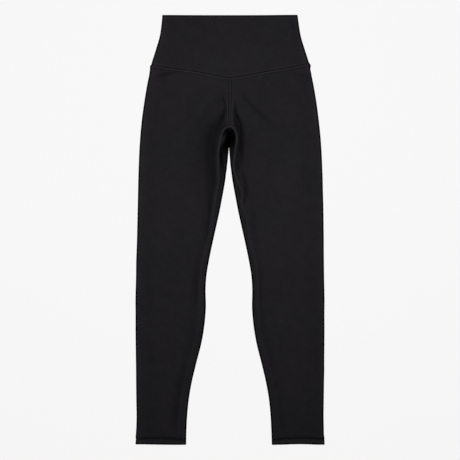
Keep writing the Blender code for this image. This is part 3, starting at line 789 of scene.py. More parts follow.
def centre_width(drop):
    """Distance of the stitches from the centre front seam."""
    return CENTRE_STITCHES - CENTRE_NARROWING * risen(CENTRE_NARROWS, drop)


def leg_marks(side, x, drop, from_side):
    """Painted light and painted shade of a leg's seams and edges."""
    below = drop - waist_edge(x)
    across = np.abs(x) / WAIST_HALF
    shade = drawn(WAIST_LIGHT, below) * (1 + drawn(WAIST_LIGHT_DIP, x)) + drawn(WAIST_DITCH, below)
    shade += drawn(WAIST_STITCH_LINE, below) * (1 + STITCH_LINE_GROWTH * across ** 2)
    offset = np.abs(x - centre_line(drop))
    flank = offset - centre_width(drop)
    centre = drawn(CENTRE_LIGHT, offset)
    centre += drawn(CENTRE_LINE, flank) * (1 + CENTRE_LINE_CHANGE[side.name] * risen(CENTRE_CHANGE, drop))
    centre += drawn(BESIDE_CENTRE, flank) * (1 + BESIDE_CHANGE * risen(BESIDE_GROWS, drop))
    shade += centre * risen(CENTRE_END, APEX[1] - drop) * risen(CENTRE_START, below)
    from_hem = drop - hem_line(side, x)
    shade += drawn(HEM_DITCH, from_hem) + HEM_LIGHT * risen(HEM_LIGHT_RAMP, from_hem)
    shade += drawn(SIDE_LIGHT[side.name], from_side) + drawn(SIDE_SHADOW, from_side)
    return shade + rim_shade(LENGTH - drop) + rim_shade(from_side)


def leg_rows(side):
    """Seam end (x, drop) and outer drop of each row of a leg, and which row meets the arch's top."""
    edge = waist_edge(0.0)
    yoke = APEX[1] - edge
    first = np.array(WAIST_ROWS) * MM
    last = yoke - np.array(APEX_ROWS) * MM
    count = int(round((last[0] - first[-1]) / ROW_STEP))
    steps = np.concatenate([first, np.linspace(first[-1], last[0], count + 1)[1:-1], last])
    rows = [(APEX[0] * t / yoke, edge + t, waist_side(side) + t) for t in steps]
    apex = len(rows) - 1

    path = SEAM_PATHS[side.name]
    arch = int(np.searchsorted(path[:, 1], side.arch_end))
    legs = path[: int(np.searchsorted(path[:, 1], LENGTH - HEM_ROWS[0] * MM))]
    start = lengths_along(legs)
    places = np.linspace(0, start[-1], int(round(start[-1] / ROW_STEP)) + 1)[1:]
    top = rows[-1][2]
    for place in places:
        x, drop = np.interp(place, start, legs[:, 0]), np.interp(place, start, legs[:, 1])
        share = place / start[arch]
        rows.append((x, drop, drop if share >= 1 else top + (side.arch_end - top) * share))
    for step in HEM_ROWS:
        drop = LENGTH - step * MM
        rows.append((np.interp(drop, path[:, 1], path[:, 0]), drop, drop))
    return np.array(rows), apex


def leg_front(side, rows, apex):
    """x and drop of the front of each row, from the seam to the start of the outer fold."""
    seam_x, seam_drop, side_drop = rows.T[:, :, None]
    edge = outer_width(side, side_drop) - LEG_HEIGHT / 2
    width = edge - side.sign * seam_x
    near = np.array(SEAM_COLUMNS) * MM
    far = np.array(FOLD_SIDE_COLUMNS) * MM
    middle = near[-1] + (width - near[-1] - far[0]) * np.linspace(0, 1, MIDDLE_COLUMNS + 2)[1:-1]
    across = np.hstack([near + 0 * width, middle, width - far])
    x = seam_x + side.sign * across
    share = across / width
    waist = (waist_edge(x) - waist_side(side)) / (waist_edge(seam_x) - waist_side(side))
    index = np.arange(len(rows))[:, None]
    straight = ease((index - apex) / STRAIGHTEN_ROWS)
    shape = (1 - straight) * waist + straight * (1 - share) ** 3
    shape = np.clip(shape, -0.2, 1.0)
    return x, side_drop + (seam_drop - side_drop) * shape


def gusset_rows(side):
    """Ends (x, drop) at the seam and at the gap between the legs of the gusset's rows on one side."""
    rows, apex = leg_rows(side)
    count = int(np.searchsorted(rows[apex:, 1], GUSSET_END)) + 1
    seam = rows[apex:apex + count, :2] - (0.0, SEAM_GAP)
    turns = np.linspace(0, pi / 2, NOTCH_POINTS)
    round_x = NOTCH[0] + side.sign * NOTCH_RADIUS * np.sin(turns)
    round_drop = NOTCH[1] - NOTCH_RADIUS * np.cos(turns)
    drops = np.linspace(NOTCH[1], seam[-1, 1], GAP_POINTS)[1:]
    edge = np.column_stack([np.append(round_x, gap_x(side, drops)), np.append(round_drop, drops)])
    length = lengths_along(edge)
    places = length[-1] * np.linspace(0, 1, count) ** GUSSET_SPREAD
    ends = np.column_stack([np.interp(places, length, edge[:, k]) for k in range(2)])
    return seam, ends


def fold_turn(x, drop, way_x, way_drop, radius):
    """Points of the half turn at an edge, from the upper face round to the lower one, for every row.

    x and drop are the outermost place of the fold, and the way points from there into the cloth.
    """
    inward = radius[:, None] * (1 - np.sin(FOLD_TURNS))
    z = radius[:, None] * (1 + np.cos(FOLD_TURNS))
    way_x = np.broadcast_to(way_x, x.shape)[:, None]
    way_drop = np.broadcast_to(way_drop, x.shape)[:, None]
    return np.dstack([x[:, None] + way_x * inward, drop[:, None] + way_drop * inward, z])


def fold_shade(radius, dark=RIM_DARK):
    """Shade round an edge: darkest where the fold turns away."""
    return rim_shade(radius[:, None] * (1 - np.sin(FOLD_TURNS)), dark)


def leg_grid(side):
    """Points and painted shade of a leg's sheet. Rows above the gusset's end have no inner fold or strip.
    """
    rows, apex = leg_rows(side)
    seam_x, seam_drop, side_drop = rows.T
    x, drop = leg_front(side, rows, apex)
    z, shade = leg_relief(side, x, drop, inside=False)
    edge = outer_width(side, side_drop)
    radius = z[:, -1] / 2
    outer_fold = fold_turn(side.sign * edge, side_drop, -side.sign, 0.0, radius)

    seam, ends = gusset_rows(side)
    last = apex + len(seam) - 1
    gap = gap_x(side, seam_drop)
    inner_radius, strip_x, strip_z, strip_shade = leg_strip(side, gap, seam_x, seam_drop)
    share = (seam_drop - seam_drop[0]) / (seam_drop[apex] - seam_drop[0])
    centre_top, centre_low = centre_back()
    inner_x = np.where(share < 1, NOTCH[0] * share, gap + side.sign * inner_radius)
    inner_drop = np.where(share < 1, centre_top + (centre_low - centre_top) * share, seam_drop)
    under = gusset_back_edge(seam, ends)
    inner_x[apex:last], inner_drop[apex:last] = under[:-1].T
    outer = side.sign * (edge - radius)
    width = np.abs(inner_x - outer)[:, None]
    near = np.array(BACK_SEAM_COLUMNS) * MM
    far = (width - near[0]) * np.arange(1, BACK_COLUMNS) / BACK_COLUMNS
    share = np.hstack([far, width - near]) / width
    back_x = outer[:, None] + (inner_x - outer)[:, None] * share
    back_drop = side_drop[:, None] + (inner_drop - side_drop)[:, None] * share ** BACK_CURVE
    back_z, back_shade = back_relief(side, back_x, back_drop)
    back_shade[share * width < PLAIN_END] = 0.0

    inner_fold = fold_turn(gap, seam_drop, side.sign, 0.0, inner_radius)[:, -2::-1]
    strip_drop = np.broadcast_to(seam_drop[:, None], strip_x.shape)
    strip = np.dstack([strip_x, strip_drop, strip_z])
    inner_fold[:last] = np.nan
    strip[:last] = np.nan
    front = np.dstack([x, drop, z])
    back = np.dstack([back_x, back_drop, back_z])
    grid = np.concatenate([front, outer_fold, back, inner_fold, strip], axis=1)
    inner_painted_shade = fold_shade(inner_radius, INNER_RIM_DARK)[:, -2::-1] + strip_shade[:, :1] * RIM_SHARE
    painted_shade = np.hstack([shade, fold_shade(radius), back_shade, inner_painted_shade, strip_shade])
    grid, painted_shade = turned_hem(side, grid, painted_shade)
    grid[:, :, 1] += hem_sag(side, grid[:, :, 0], grid[:, :, 1])
    return grid, painted_shade


def leg_strip(side, gap, seam_x, seam_drop):
    """The cloth of a leg between its inseam and its inner fold, with the fold's radius."""
    start = gap + side.sign * INNER_FOLD
    radius = leg_relief(side, start, seam_drop, inside=True)[0] / 2
    start = gap + side.sign * radius
    share = np.linspace(0, 1, STRIP_COLUMNS + 1)
    x = start[:, None] + (seam_x - side.sign * SEAM_GAP - start)[:, None] * share
    drop = np.broadcast_to(seam_drop[:, None], x.shape)
    z, shade = leg_relief(side, x, drop, inside=True)
    z[:, 0] = 2 * radius
    shade += rim_shade(np.abs(x - gap[:, None]), INNER_RIM_DARK)
    return radius, x, z, shade


def gusset_back_edge(seam, ends):
    """Where the gusset's edge lies on the underside."""
    reach = INNER_FOLD + np.linspace(BACK_REACH, TIP_REACH, len(seam))
    return ends + unit(seam - ends) * reach[:, None]


def centre_back():
    """Drop of the upper and of the lower end of the centre back seam."""
    top = (waist_side(RIGHT) + waist_side(LEFT)) / 2 + BACK_DIP
    return top, NOTCH[1] - NOTCH_RADIUS - LEG_HEIGHT / 2 - BACK_REACH


def back_waist(side, x):
    """Drop of the waist seam on the underside."""
    edge = waist_side(side)
    share = np.clip(1 - np.abs(x) / outer_width(side, edge), 0.0, 1.0)
    return edge + (centre_back()[0] - edge) * share ** BACK_CURVE


def back_relief(side, x, drop):
    """Height and shade of a leg's underside: flat but for its seams, its hem and a few soft folds."""
    top, low = centre_back()
    from_middle = nearest(x, drop, np.array([(0.0, top), (NOTCH[0], low)]))[0]
    gusset = gusset_back_edge(*gusset_rows(side))
    from_gusset, place = nearest(x, drop, gusset)
    taper = 1 - place / lengths_along(gusset)[-1]
    below = drop - back_waist(side, x)
    hem_top = hem_line(side, x)
    seam = np.maximum(bell(from_middle, BACK_SEAM_REACH), taper * bell(from_gusset, BACK_SEAM_REACH))
    seam = np.maximum(seam, bell(below, BACK_WAIST_REACH))
    lift, shade = crease_relief(BACK_CREASES, x, drop)
    z = lift + BACK_SEAM_LIFT * (seam + BACK_HEM_SHARE * risen(BACK_HEM_STEP, drop - hem_top))
    from_seam = np.minimum(from_middle, from_gusset + TAPER_AWAY * (1 - taper))
    # Painted light and painted shade along the seams, the waist seam and the hem
    shade += drawn(BACK_SEAM_LIGHT, from_seam) + drawn(BACK_SEAM_DITCH, from_seam)
    shade += drawn(BACK_WAIST_LIGHT, below) + drawn(WAIST_DITCH, below)
    shade += drawn(BACK_HEM_DITCH, drop - hem_top)
    from_side = outer_width(side, drop) - np.abs(x)
    return z * risen(BACK_FLAT, from_side), shade + rim_shade(from_side)


def turned_hem(side, grid, painted_shade):
    """Adds the rows that fold the hem's edge over and run up inside the leg."""
    section = grid[-1]
    way = unit(np.gradient(section[:, [0, 2]], axis=0))
    outward = side.sign * np.column_stack([-way[:, 1], way[:, 0]])
    turns = pi * np.arange(1, TURN_STEPS + 1) / TURN_STEPS
    offsets = list(EDGE_RADIUS * (1 - np.cos(turns))) + [2 * EDGE_RADIUS + TURN_UP_GAP] * TURN_UP_ROWS
    drops = list(LENGTH - EDGE_RADIUS * (1 - np.sin(turns)))
    fold = LENGTH - EDGE_RADIUS
    end = hem_line(side, section[:, 0]) + HEM_STEP.length
    drops += [fold + (end - fold) * k / TURN_UP_ROWS for k in range(1, TURN_UP_ROWS + 1)]
    added = []
    for offset, drop in zip(offsets, drops):
        row = section.copy()
        row[:, [0, 2]] -= offset * outward
        row[:, 1] = drop
        added.append(row)
    # The turned-up cloth takes the hem edge's painted shade, darkened by more painted shade inside the
    # leg
    shade = np.repeat(painted_shade[-1:], len(added), axis=0) - TURNED_HEM_SHADE
    return np.concatenate([grid, added]), np.vstack([painted_shade, shade])


def gusset_half(side):
    """The gusset's lines on one side, from the seam over the inner fold to the edge on the underside."""
    seam, ends = gusset_rows(side)
    length = np.linalg.norm(seam - ends, axis=1)
    way = unit(seam - ends)
    flat = length - INNER_FOLD
    squeeze = np.minimum(flat / GUSSET_NARROW, 1.0)
    near = np.array(GUSSET_COLUMNS) * MM * squeeze[:, None]
    share = np.arange(1, GUSSET_MIDDLE_COLUMNS + 1) / GUSSET_MIDDLE_COLUMNS
    far = near[:, -1:] + (flat[:, None] - near[:, -1:]) * share
    across = np.hstack([near, far])
    x = seam[:, :1] - way[:, :1] * across
    drop = seam[:, 1:] - way[:, 1:] * across
    z, shade = leg_relief(side, x, drop, inside=True)
    shade += rim_shade(length[:, None] - across, INNER_RIM_DARK)
    radius = z[:, -1] / 2
    turn = fold_turn(ends[:, 0], ends[:, 1], way[:, 0], way[:, 1], radius)
    reach = np.linspace(BACK_REACH, TIP_REACH, len(seam))[:, None]
    under = radius[:, None] + reach * np.arange(1, UNDER_COLUMNS + 1) / UNDER_COLUMNS
    under_x = ends[:, :1] + way[:, :1] * under
    under_drop = ends[:, 1:] + way[:, 1:] * under
    lift = BACK_SEAM_LIFT * np.linspace(1, 0, len(seam))[:, None]
    under_z = lift * bell(radius[:, None] + reach - under, BACK_SEAM_REACH)
    upper = np.dstack([x, drop, z])
    points = np.concatenate([upper, turn, np.dstack([under_x, under_drop, under_z])], axis=1)
    rim = shade[:, -1:]
    turned = fold_shade(radius, INNER_RIM_DARK) + rim * RIM_SHARE
    return points, np.hstack([shade, turned, rim + 0 * under])


def gusset_grid():
    """Points and shade of the gusset, from its tip on the right leg over the arch to the left one."""
    right, right_shade = gusset_half(RIGHT)
    left, left_shade = gusset_half(LEFT)
    return np.concatenate([right[:0:-1], left]), np.vstack([right_shade[:0:-1], left_shade])


def band_section(share, front):
    """One row of a waistband panel round its outer face, from the right side fold to the left one.

    share is 0 at the waist edge and 1 at the seam.
    """
    halves = []
    for side in (RIGHT, LEFT):
        seam_side = waist_side(side)
        side_drop = share * seam_side
        edge = outer_width(side, side_drop)
        radius = BAND_HEIGHT / 2
        across = (edge - radius) * (1 - (1 - np.linspace(0, 1, BAND_COLUMNS // 2 + 1)) ** BAND_SPREAD)
        x = side.sign * across
        fall = waist_edge(x) if front else back_waist(side, x)
        corner = WAIST_CORNER[side.name] * risen(BAND_CORNER, across)
        drop = share * fall + (1 - share) * (drawn(WAIST_DIP, x) - corner)
        above = fall - drop
        # Painted light and painted shade of the seam, the creases and the edges
        painted_shade = drawn(BAND_LIGHT, above) + drawn(BAND_DITCH, above)
        if front:
            lift, shade = crease_relief(BAND_CREASES, x, drop)
            z = BAND_HEIGHT + lift + waves(x, drop) * BAND_WAVES + drawn(BAND_GROOVE, above)
            from_side = edge - across
            painted_shade += shade + drawn(BAND_SIDE_LIGHT, from_side) + rim_shade(from_side) + rim_shade(drop)
        else:
            z = BACK_SEAM_LIFT * bell(above, BACK_WAIST_REACH) * risen(BAND_FLAT, edge - radius - across)
        turns = FOLD_TURNS[:FOLD_COLUMNS // 2]
        face = z[-1] if front else 0.0
        middle = radius + (SEAM_GAP if front else -SEAM_GAP)
        x = np.concatenate([x, side.sign * (edge - radius + radius * np.sin(turns))])
        z = np.concatenate([z, middle + (face - middle) * np.cos(turns)])
        drop = np.concatenate([drop, np.full(len(turns), drop[-1])])
        painted_shade = np.concatenate([painted_shade, rim_shade(radius * (1 - np.sin(turns)))])
        halves.append((np.column_stack([x, drop, z]), painted_shade))
    (right, right_painted_shade), (left, left_painted_shade) = halves
    return np.vstack([right[:0:-1], left]), np.concatenate([right_painted_shade[:0:-1], left_painted_shade])


def band_grid(front):
    """Points and painted shade of a waistband panel: outer face, fold at the waist edge and lining face.
    """
    middle = np.linspace(BAND_ROWS[-1], BAND_TOP_ROWS[0], BAND_MIDDLE_ROWS + 1)[1:-1]
    heights = np.concatenate([BAND_ROWS, middle, BAND_TOP_ROWS])
    outer = [band_section(1 - h, front) for h in heights]
    grid = [points for points, painted_shade in outer]
    painted_shades = [painted_shade for points, painted_shade in outer]
    top, top_painted_shade = band_section(0.0, front)
    for k in range(TURN_STEPS + 1):
        turn = pi * k / TURN_STEPS
        row = offset_in(top, EDGE_RADIUS * (1 - np.cos(turn)), front)
        row[:, 1] += EDGE_RADIUS * (1 - np.sin(turn))
        grid.append(row)
        painted_shades.append(top_painted_shade - WAIST_FOLD_SHADE * np.sin(turn))
    for h in LINING_ROWS:
        points, painted_shade = band_section(1 - h, front)
        grid.append(offset_in(points, 2 * EDGE_RADIUS + TURN_UP_GAP, front))
        painted_shades.append(painted_shade - LINING_SHADE)
    return np.array(grid), np.array(painted_shades)


def offset_in(section, distance, front):
    """A row moved inwards from its outer face."""
    way = np.gradient(section[:, [0, 2]], axis=0)
    way[[0, -1], 0] = 0.0
    outward = np.column_stack([-way[:, 1], way[:, 0]]) * (1 if front else -1)
    row = section.copy()
    row[:, [0, 2]] -= distance * unit(outward)
    return row


def new_piece(name, bm, material):
    """An object of a finished mesh."""
    mesh = bpy.data.meshes.new(name)
    bm.to_mesh(mesh)
    bm.free()
    mesh.materials.append(material)
    piece = bpy.data.objects.new(name, mesh)
    bpy.context.scene.collection.objects.link(piece)
    return piece


def cloth_sheet(name, grid, painted_shade, wall, material, reverse):
    """A grid with its points moved to the given (x, drop, z) and painted shade, and a wall behind its
    face.
    """
    rows, columns = painted_shade.shape
    filled = np.nan_to_num(grid)
    across = np.linalg.norm(np.diff(filled, axis=1), axis=2).cumsum(axis=1)
    down = np.linalg.norm(np.diff(filled, axis=0), axis=2).cumsum(axis=0)
    u = np.hstack([np.zeros((rows, 1)), across])
    v = np.vstack([np.zeros((1, columns)), down])
    bm = bmesh.new()
    shades = bm.verts.layers.float.new(SHADE)
    uv = bm.loops.layers.uv.new("cloth")
    bmesh.ops.create_grid(bm, x_segments=columns - 1, y_segments=rows - 1, size=1.0)
    left_out = []
    places = {}
    for vertex in bm.verts:
        column = round((vertex.co.x + 1) / 2 * (columns - 1))
        row = round((vertex.co.y + 1) / 2 * (rows - 1))
        x, drop, z = grid[row, column]
        if np.isnan(x):
            left_out.append(vertex)
            continue
        vertex.co = (x, TOP - drop, z)
        vertex[shades] = painted_shade[row, column]
        places[vertex] = (u[row, column], v[row, column])
    bmesh.ops.delete(bm, geom=left_out, context="VERTS")
    for face in bm.faces:
        face.smooth = True
        for loop in face.loops:
            loop[uv].uv = places[loop.vert]
    if reverse:
        bmesh.ops.reverse_faces(bm, faces=bm.faces)
    area = sum(face.calc_area() for face in bm.faces)
    piece = new_piece(name, bm, material)
    shell = piece.modifiers.new("wall", "SOLIDIFY")
    shell.thickness = wall
    shell.offset = -1.0
    shell.use_quality_normals = True
    used = ~np.isnan(grid[:, :, 0])
    width = float(u[used].max())
    length = float(v.max(axis=0)[used.any(axis=0)].mean())
    return piece, (width, length), min(float(area), width * length)


def offset_path(side, offset):
    """The line of an inner seam moved sideways, away from the gap between the legs."""
    path = SEAM_PATHS[side.name]
    way = unit(np.gradient(path, axis=0))
    return path + offset * side.sign * np.column_stack([way[:, 1], -way[:, 0]])


def waist_stitch_lines():
    """Two rows of stitches under the waistband on each side of the middle, front and back."""
    for side in (RIGHT, LEFT):
        for face, end in WAIST_ROW_ENDS.items():
            x = side.sign * np.linspace(WAIST_ROW_START, end, 2 * LINE_POINTS)
            seam = waist_edge(x) if face == "front" else back_waist(side, x)
            for row in (DITCH / 2, STITCH_ROW):
                yield side, np.column_stack([x, seam + row]), face


def centre_stitch_lines():
    """One row of stitches on each side of the centre seams, front and back."""
    drop = np.linspace(waist_edge(0.0) + CENTRE_ROW_GAPS[0], APEX[1] - CENTRE_ROW_GAPS[1], LINE_POINTS)
    for side in (RIGHT, LEFT):
        yield side, np.column_stack([centre_line(drop) + side.sign * centre_width(drop), drop]), "front"
        top, low = centre_back()
        share = np.linspace(0.06, 1.0, LINE_POINTS)
        x = NOTCH[0] * share + side.sign * BACK_STITCH_ROW
        yield side, np.column_stack([x, top + (low - top) * share]), "back"


def inseam_stitch_lines(side):
    """A row of stitches along each flank of the ridge of an inner seam."""
    for offset, face in ((INSEAM_ROW, "front"), (-INSEAM_ROW, "inside")):
        path = offset_path(side, offset)
        clear = side.sign * path[:, 0] > side.sign * centre_line(path[:, 1]) + INSEAM_ROW_GAPS[0]
        yield side, path[clear & (path[:, 1] < LENGTH - INSEAM_ROW_GAPS[1])], face


def hem_stitch_lines():
    """Two rows of stitches round each hem, front and back."""
    for side in (RIGHT, LEFT):
        ends = gap_x(side, LENGTH), side.sign * outer_width(side, LENGTH)
        for face, margin in HEM_ROW_MARGINS.items():
            x = np.linspace(ends[0] + side.sign * margin, ends[1] - side.sign * margin, LINE_POINTS)
            for row in HEM_STITCH_ROWS:
                yield side, np.column_stack([x, hem_line(side, x) + row]), face


def face_relief(side, x, drop, face):
    """Height and shade of a leg's front, of the cloth inside its seam or of its back."""
    if face == "back":
        return back_relief(side, x, drop)
    return leg_relief(side, x, drop, face == "inside")


def stitches_on(side, path, face, spacing):
    """Middle, way, normal and shade of each stitch of a row on a leg."""
    row = even_path(path, spacing)
    across, down = np.diff(row, axis=0).T
    x, drop = ((row[1:] + row[:-1]) / 2).T
    z, shade = face_relief(side, x, drop, face)
    slope_x = (face_relief(side, x + NUDGE, drop, face)[0] - z) / NUDGE
    slope_drop = (face_relief(side, x, drop + NUDGE, face)[0] - z) / NUDGE
    way = np.column_stack([across, -down, across * slope_x + down * slope_drop])
    normal = np.column_stack([-slope_x, slope_drop, np.ones_like(z)]) * (-1 if face == "back" else 1)
    middle = np.column_stack([x, TOP - drop - hem_sag(side, x, drop), z])
    return list(zip(middle, way, normal, shade))


def thread_piece(name, stitches, length, width, material):
    """Stitches joined in one piece, each a long grain of thread that lies on the cloth."""
    bm = bmesh.new()
    bmesh.ops.create_icosphere(bm, subdivisions=1, radius=0.5)
    grain = bpy.data.meshes.new("grain")
    bm.to_mesh(grain)
    bm.free()
    bm = bmesh.new()
    for middle, way, normal, _ in stitches:
        way = Vector(way).normalized()
        normal = Vector(normal).normalized()
        sides = (way * length, normal.cross(way) * width, normal * width * STITCH_FLATNESS)
        turn = Matrix(sides).transposed().to_4x4()
        turn.translation = Vector(middle) + normal * width * STITCH_STANDS
        copy = grain.copy()
        copy.transform(turn)
        bm.from_mesh(copy)
        bpy.data.meshes.remove(copy)
    # Each stitch takes the painted shade of the cloth under it
    shades = bm.verts.layers.float.new(SHADE)
    for k, vertex in enumerate(bm.verts):
        vertex[shades] = stitches[k // len(grain.vertices)][3]
    for face in bm.faces:
        face.smooth = True
    bpy.data.meshes.remove(grain)
    piece = new_piece(name, bm, material)
    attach(piece, "root")
    return piece


def declare(piece, nodes, flat, area):
    """Attaches a sheet of cloth to the root and hides the parts of model.glb that it stands for."""
    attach(piece, "root")
    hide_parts(*nodes)


def socket_math(tree, operation, first, second=None, third=None):
    """A Math node fed by sockets or numbers."""
    node = tree.nodes.new("ShaderNodeMath")
    node.operation = operation
    for socket, value in zip(node.inputs, (first, second, third)):
        if value is None:
            continue
        if isinstance(value, (int, float)):
            socket.default_value = value
        else:
            tree.links.new(value, socket)
    return node.outputs[0]


def mixed_colour(tree, factor, first, second):
    """A blend of two colours."""
    node = tree.nodes.new("ShaderNodeMix")
    node.data_type = "RGBA"
    tree.links.new(factor, node.inputs[0])
    first_socket, second_socket = [socket for socket in node.inputs if socket.type == "RGBA"]
    first_socket.default_value = (*first, 1.0)
    second_socket.default_value = (*second, 1.0)
    return next(socket for socket in node.outputs if socket.type == "RGBA")


def set_inputs(node, values):
    """Gives some of a node's sockets their values."""
    for name, value in values.items():
        node.inputs[name].default_value = value


def noise(tree, vector, scale, detail, roughness):
    """Smooth noise from 0 to 1 at places, scale grains to a metre."""
    node = tree.nodes.new("ShaderNodeTexNoise")
    set_inputs(node, {"Scale": scale, "Detail": detail, "Roughness": roughness})
    tree.links.new(vector, node.inputs["Vector"])
    return node.outputs["Fac"]


# Noises of the cloth and thread: grains to a metre, detail and roughness
FUZZ = (1400.0, 2.0, 0.7)
GRAIN = (330.0, 2.0, 0.6)
TINT = (170.0, 2.0, 0.7)
PATCHES = (55.0, 3.0, 0.6)
CLOUDS = (9.0, 2.0, 0.5)
TWIST = (2600.0, 1.0, 0.5)

KNIT_SOCKETS = [
    ("UV", "INPUT", "Vector"), ("Place", "INPUT", "Vector"), ("Wales per metre", "INPUT", "Float"),
    ("Courses per metre", "INPUT", "Float"), ("Mottle", "INPUT", "Float"),
    ("Lightness", "OUTPUT", "Float"), ("Height", "OUTPUT", "Float"), ("Warmth", "OUTPUT", "Float"),
]


def knit_group():
    """Fine stretch knit with a brushed nap: how light each place is, and the height of its loops."""
    group = bpy.data.node_groups.new("brushed_knit", "ShaderNodeTree")
    for name, way, kind in KNIT_SOCKETS:
        group.interface.new_socket(name, in_out=way, socket_type="NodeSocket" + kind)
    math = partial(socket_math, group)
    source = group.nodes.new("NodeGroupInput")
    result = group.nodes.new("NodeGroupOutput")
    split = group.nodes.new("ShaderNodeSeparateXYZ")
    group.links.new(source.outputs["UV"], split.inputs[0])
    wale = math("MULTIPLY", split.outputs["X"], source.outputs["Wales per metre"])
    course = math("MULTIPLY", split.outputs["Y"], source.outputs["Courses per metre"])
    leg = math("PINGPONG", wale, 0.5)
    slant = math("MULTIPLY_ADD", leg, 1.1, course)
    loops = math("SINE", math("MULTIPLY", slant, 2 * pi))
    groove = math("SINE", math("MULTIPLY", leg, 2 * pi))
    loops = math("MULTIPLY_ADD", loops, 0.35, groove)
    place = source.outputs["Place"]
    fuzz = noise(group, place, *FUZZ)
    patches = noise(group, place, *PATCHES)
    clouds = noise(group, place, *CLOUDS)
    height = math("MULTIPLY_ADD", fuzz, 1.2, loops)
    grain = noise(group, place, *GRAIN)
    fine = math("MULTIPLY_ADD", math("SUBTRACT", fuzz, 0.5), 0.45, 1.0)
    fine = math("MULTIPLY_ADD", math("SUBTRACT", grain, 0.5), 0.35, fine)
    spread = math("ADD", math("MULTIPLY", patches, 0.75), math("MULTIPLY", clouds, 0.4))
    spread = math("SUBTRACT", spread, 0.575)
    tint = math("SUBTRACT", noise(group, place, *TINT), 0.5)
    warmth = math("MULTIPLY_ADD", tint, 1.6, clouds)
    uneven = math("MULTIPLY_ADD", spread, source.outputs["Mottle"], fine)
    light = math("MULTIPLY_ADD", loops, 0.05, uneven)
    group.links.new(light, result.inputs["Lightness"])
    group.links.new(height, result.inputs["Height"])
    group.links.new(warmth, result.inputs["Warmth"])
    return group


def new_material(name, values):
    """A material and its shader, some of whose sockets get their values."""
    material = bpy.data.materials.new(name)
    material.use_nodes = True
    shader = material.node_tree.nodes["Principled BSDF"]
    set_inputs(shader, values)
    return material, shader


def lit_colour(tree, shader, colour, lightness=None):
    """Feeds the shader a colour, lighter or darker by the painted shade in the piece's own shade
    attribute.
    """
    shade = tree.nodes.new("ShaderNodeAttribute")
    shade.attribute_name = SHADE
    lit = socket_math(tree, "MAXIMUM", socket_math(tree, "ADD", shade.outputs["Fac"], 1.0), 0.0)
    if lightness is not None:
        lit = socket_math(tree, "MULTIPLY", lit, lightness)
    scaled = tree.nodes.new("ShaderNodeVectorMath")
    scaled.operation = "SCALE"
    tree.links.new(colour, scaled.inputs[0])
    tree.links.new(lit, scaled.inputs["Scale"])
    tree.links.new(scaled.outputs[0], shader.inputs["Base Color"])


def cloth_material(name, settings, knit):
    """Brushed knit whose colour takes the painted light and shade of the piece's own shade attribute."""
    material, shader = new_material(name, {
        "Roughness": 0.9, "Specular IOR Level": 0.0, "Sheen Weight": settings.sheen,
        "Sheen Roughness": 0.35, "Sheen Tint": (*settings.sheen_colour, 1.0),
    })
    tree = material.node_tree
    uv = tree.nodes.new("ShaderNodeUVMap")
    uv.uv_map = "cloth"
    place = tree.nodes.new("ShaderNodeTexCoord")
    weave = tree.nodes.new("ShaderNodeGroup")
    weave.node_tree = knit
    set_inputs(weave, {
        "Wales per metre": settings.wales, "Courses per metre": settings.courses,
        "Mottle": settings.mottle,
    })
    tree.links.new(uv.outputs["UV"], weave.inputs["UV"])
    tree.links.new(place.outputs["Object"], weave.inputs["Place"])
    colour = mixed_colour(tree, weave.outputs["Warmth"], settings.cool_colour, settings.warm_colour)
    lit_colour(tree, shader, colour, weave.outputs["Lightness"])
    bump = tree.nodes.new("ShaderNodeBump")
    set_inputs(bump, {"Strength": 0.25, "Distance": 0.0001})
    tree.links.new(weave.outputs["Height"], bump.inputs["Height"])
    tree.links.new(bump.outputs["Normal"], shader.inputs["Normal"])
    return material


def thread_material(name, colour):
    """Twisted thread, with the painted shade of the cloth round it in its colour."""
    material, shader = new_material(name, {"Roughness": 0.65, "Specular IOR Level": 0.1})
    tree = material.node_tree
    place = tree.nodes.new("ShaderNodeTexCoord")
    twist = noise(tree, place.outputs["Object"], *TWIST)
    fibres = mixed_colour(tree, twist, [0.7 * c for c in colour], [1.3 * c for c in colour])
    lit_colour(tree, shader, fibres)
    return material


class LeggingsCloth(bpy.types.PropertyGroup):
    """Cloth of the leggings"""

    wall: FloatProperty(
        name="Cloth thickness", description="Thickness of one layer of knit",
        default=0.00105, min=0.0005, max=0.0011, precision=5, unit="LENGTH")
    wales: FloatProperty(
        name="Wales per metre", description="Columns of knitted loops in a metre of cloth",
        default=1500.0, min=300.0, max=4000.0)
    courses: FloatProperty(
        name="Courses per metre", description="Rows of knitted loops in a metre of cloth",
        default=2000.0, min=300.0, max=5000.0)
    mottle: FloatProperty(
        name="Mottle", description="How cloudy the dye looks", default=0.50, min=0.0, max=1.0,
        subtype="FACTOR")
    cool_colour: FloatVectorProperty(
        name="Cool colour", description="Charcoal of the cooler patches", subtype="COLOR",
        default=(0.0166, 0.0168, 0.0181), min=0.0, max=1.0)
    warm_colour: FloatVectorProperty(
        name="Warm colour", description="Charcoal of the warmer patches", subtype="COLOR",
        default=(0.0200, 0.0169, 0.0197), min=0.0, max=1.0)
    sheen: FloatProperty(
        name="Nap sheen", description="How much the nap catches light at a low angle",
        default=0.35, min=0.0, max=1.0, subtype="FACTOR")
    sheen_colour: FloatVectorProperty(
        name="Nap colour", description="Colour of the light that the nap catches", subtype="COLOR",
        default=(0.06, 0.058, 0.064), min=0.0, max=1.0)


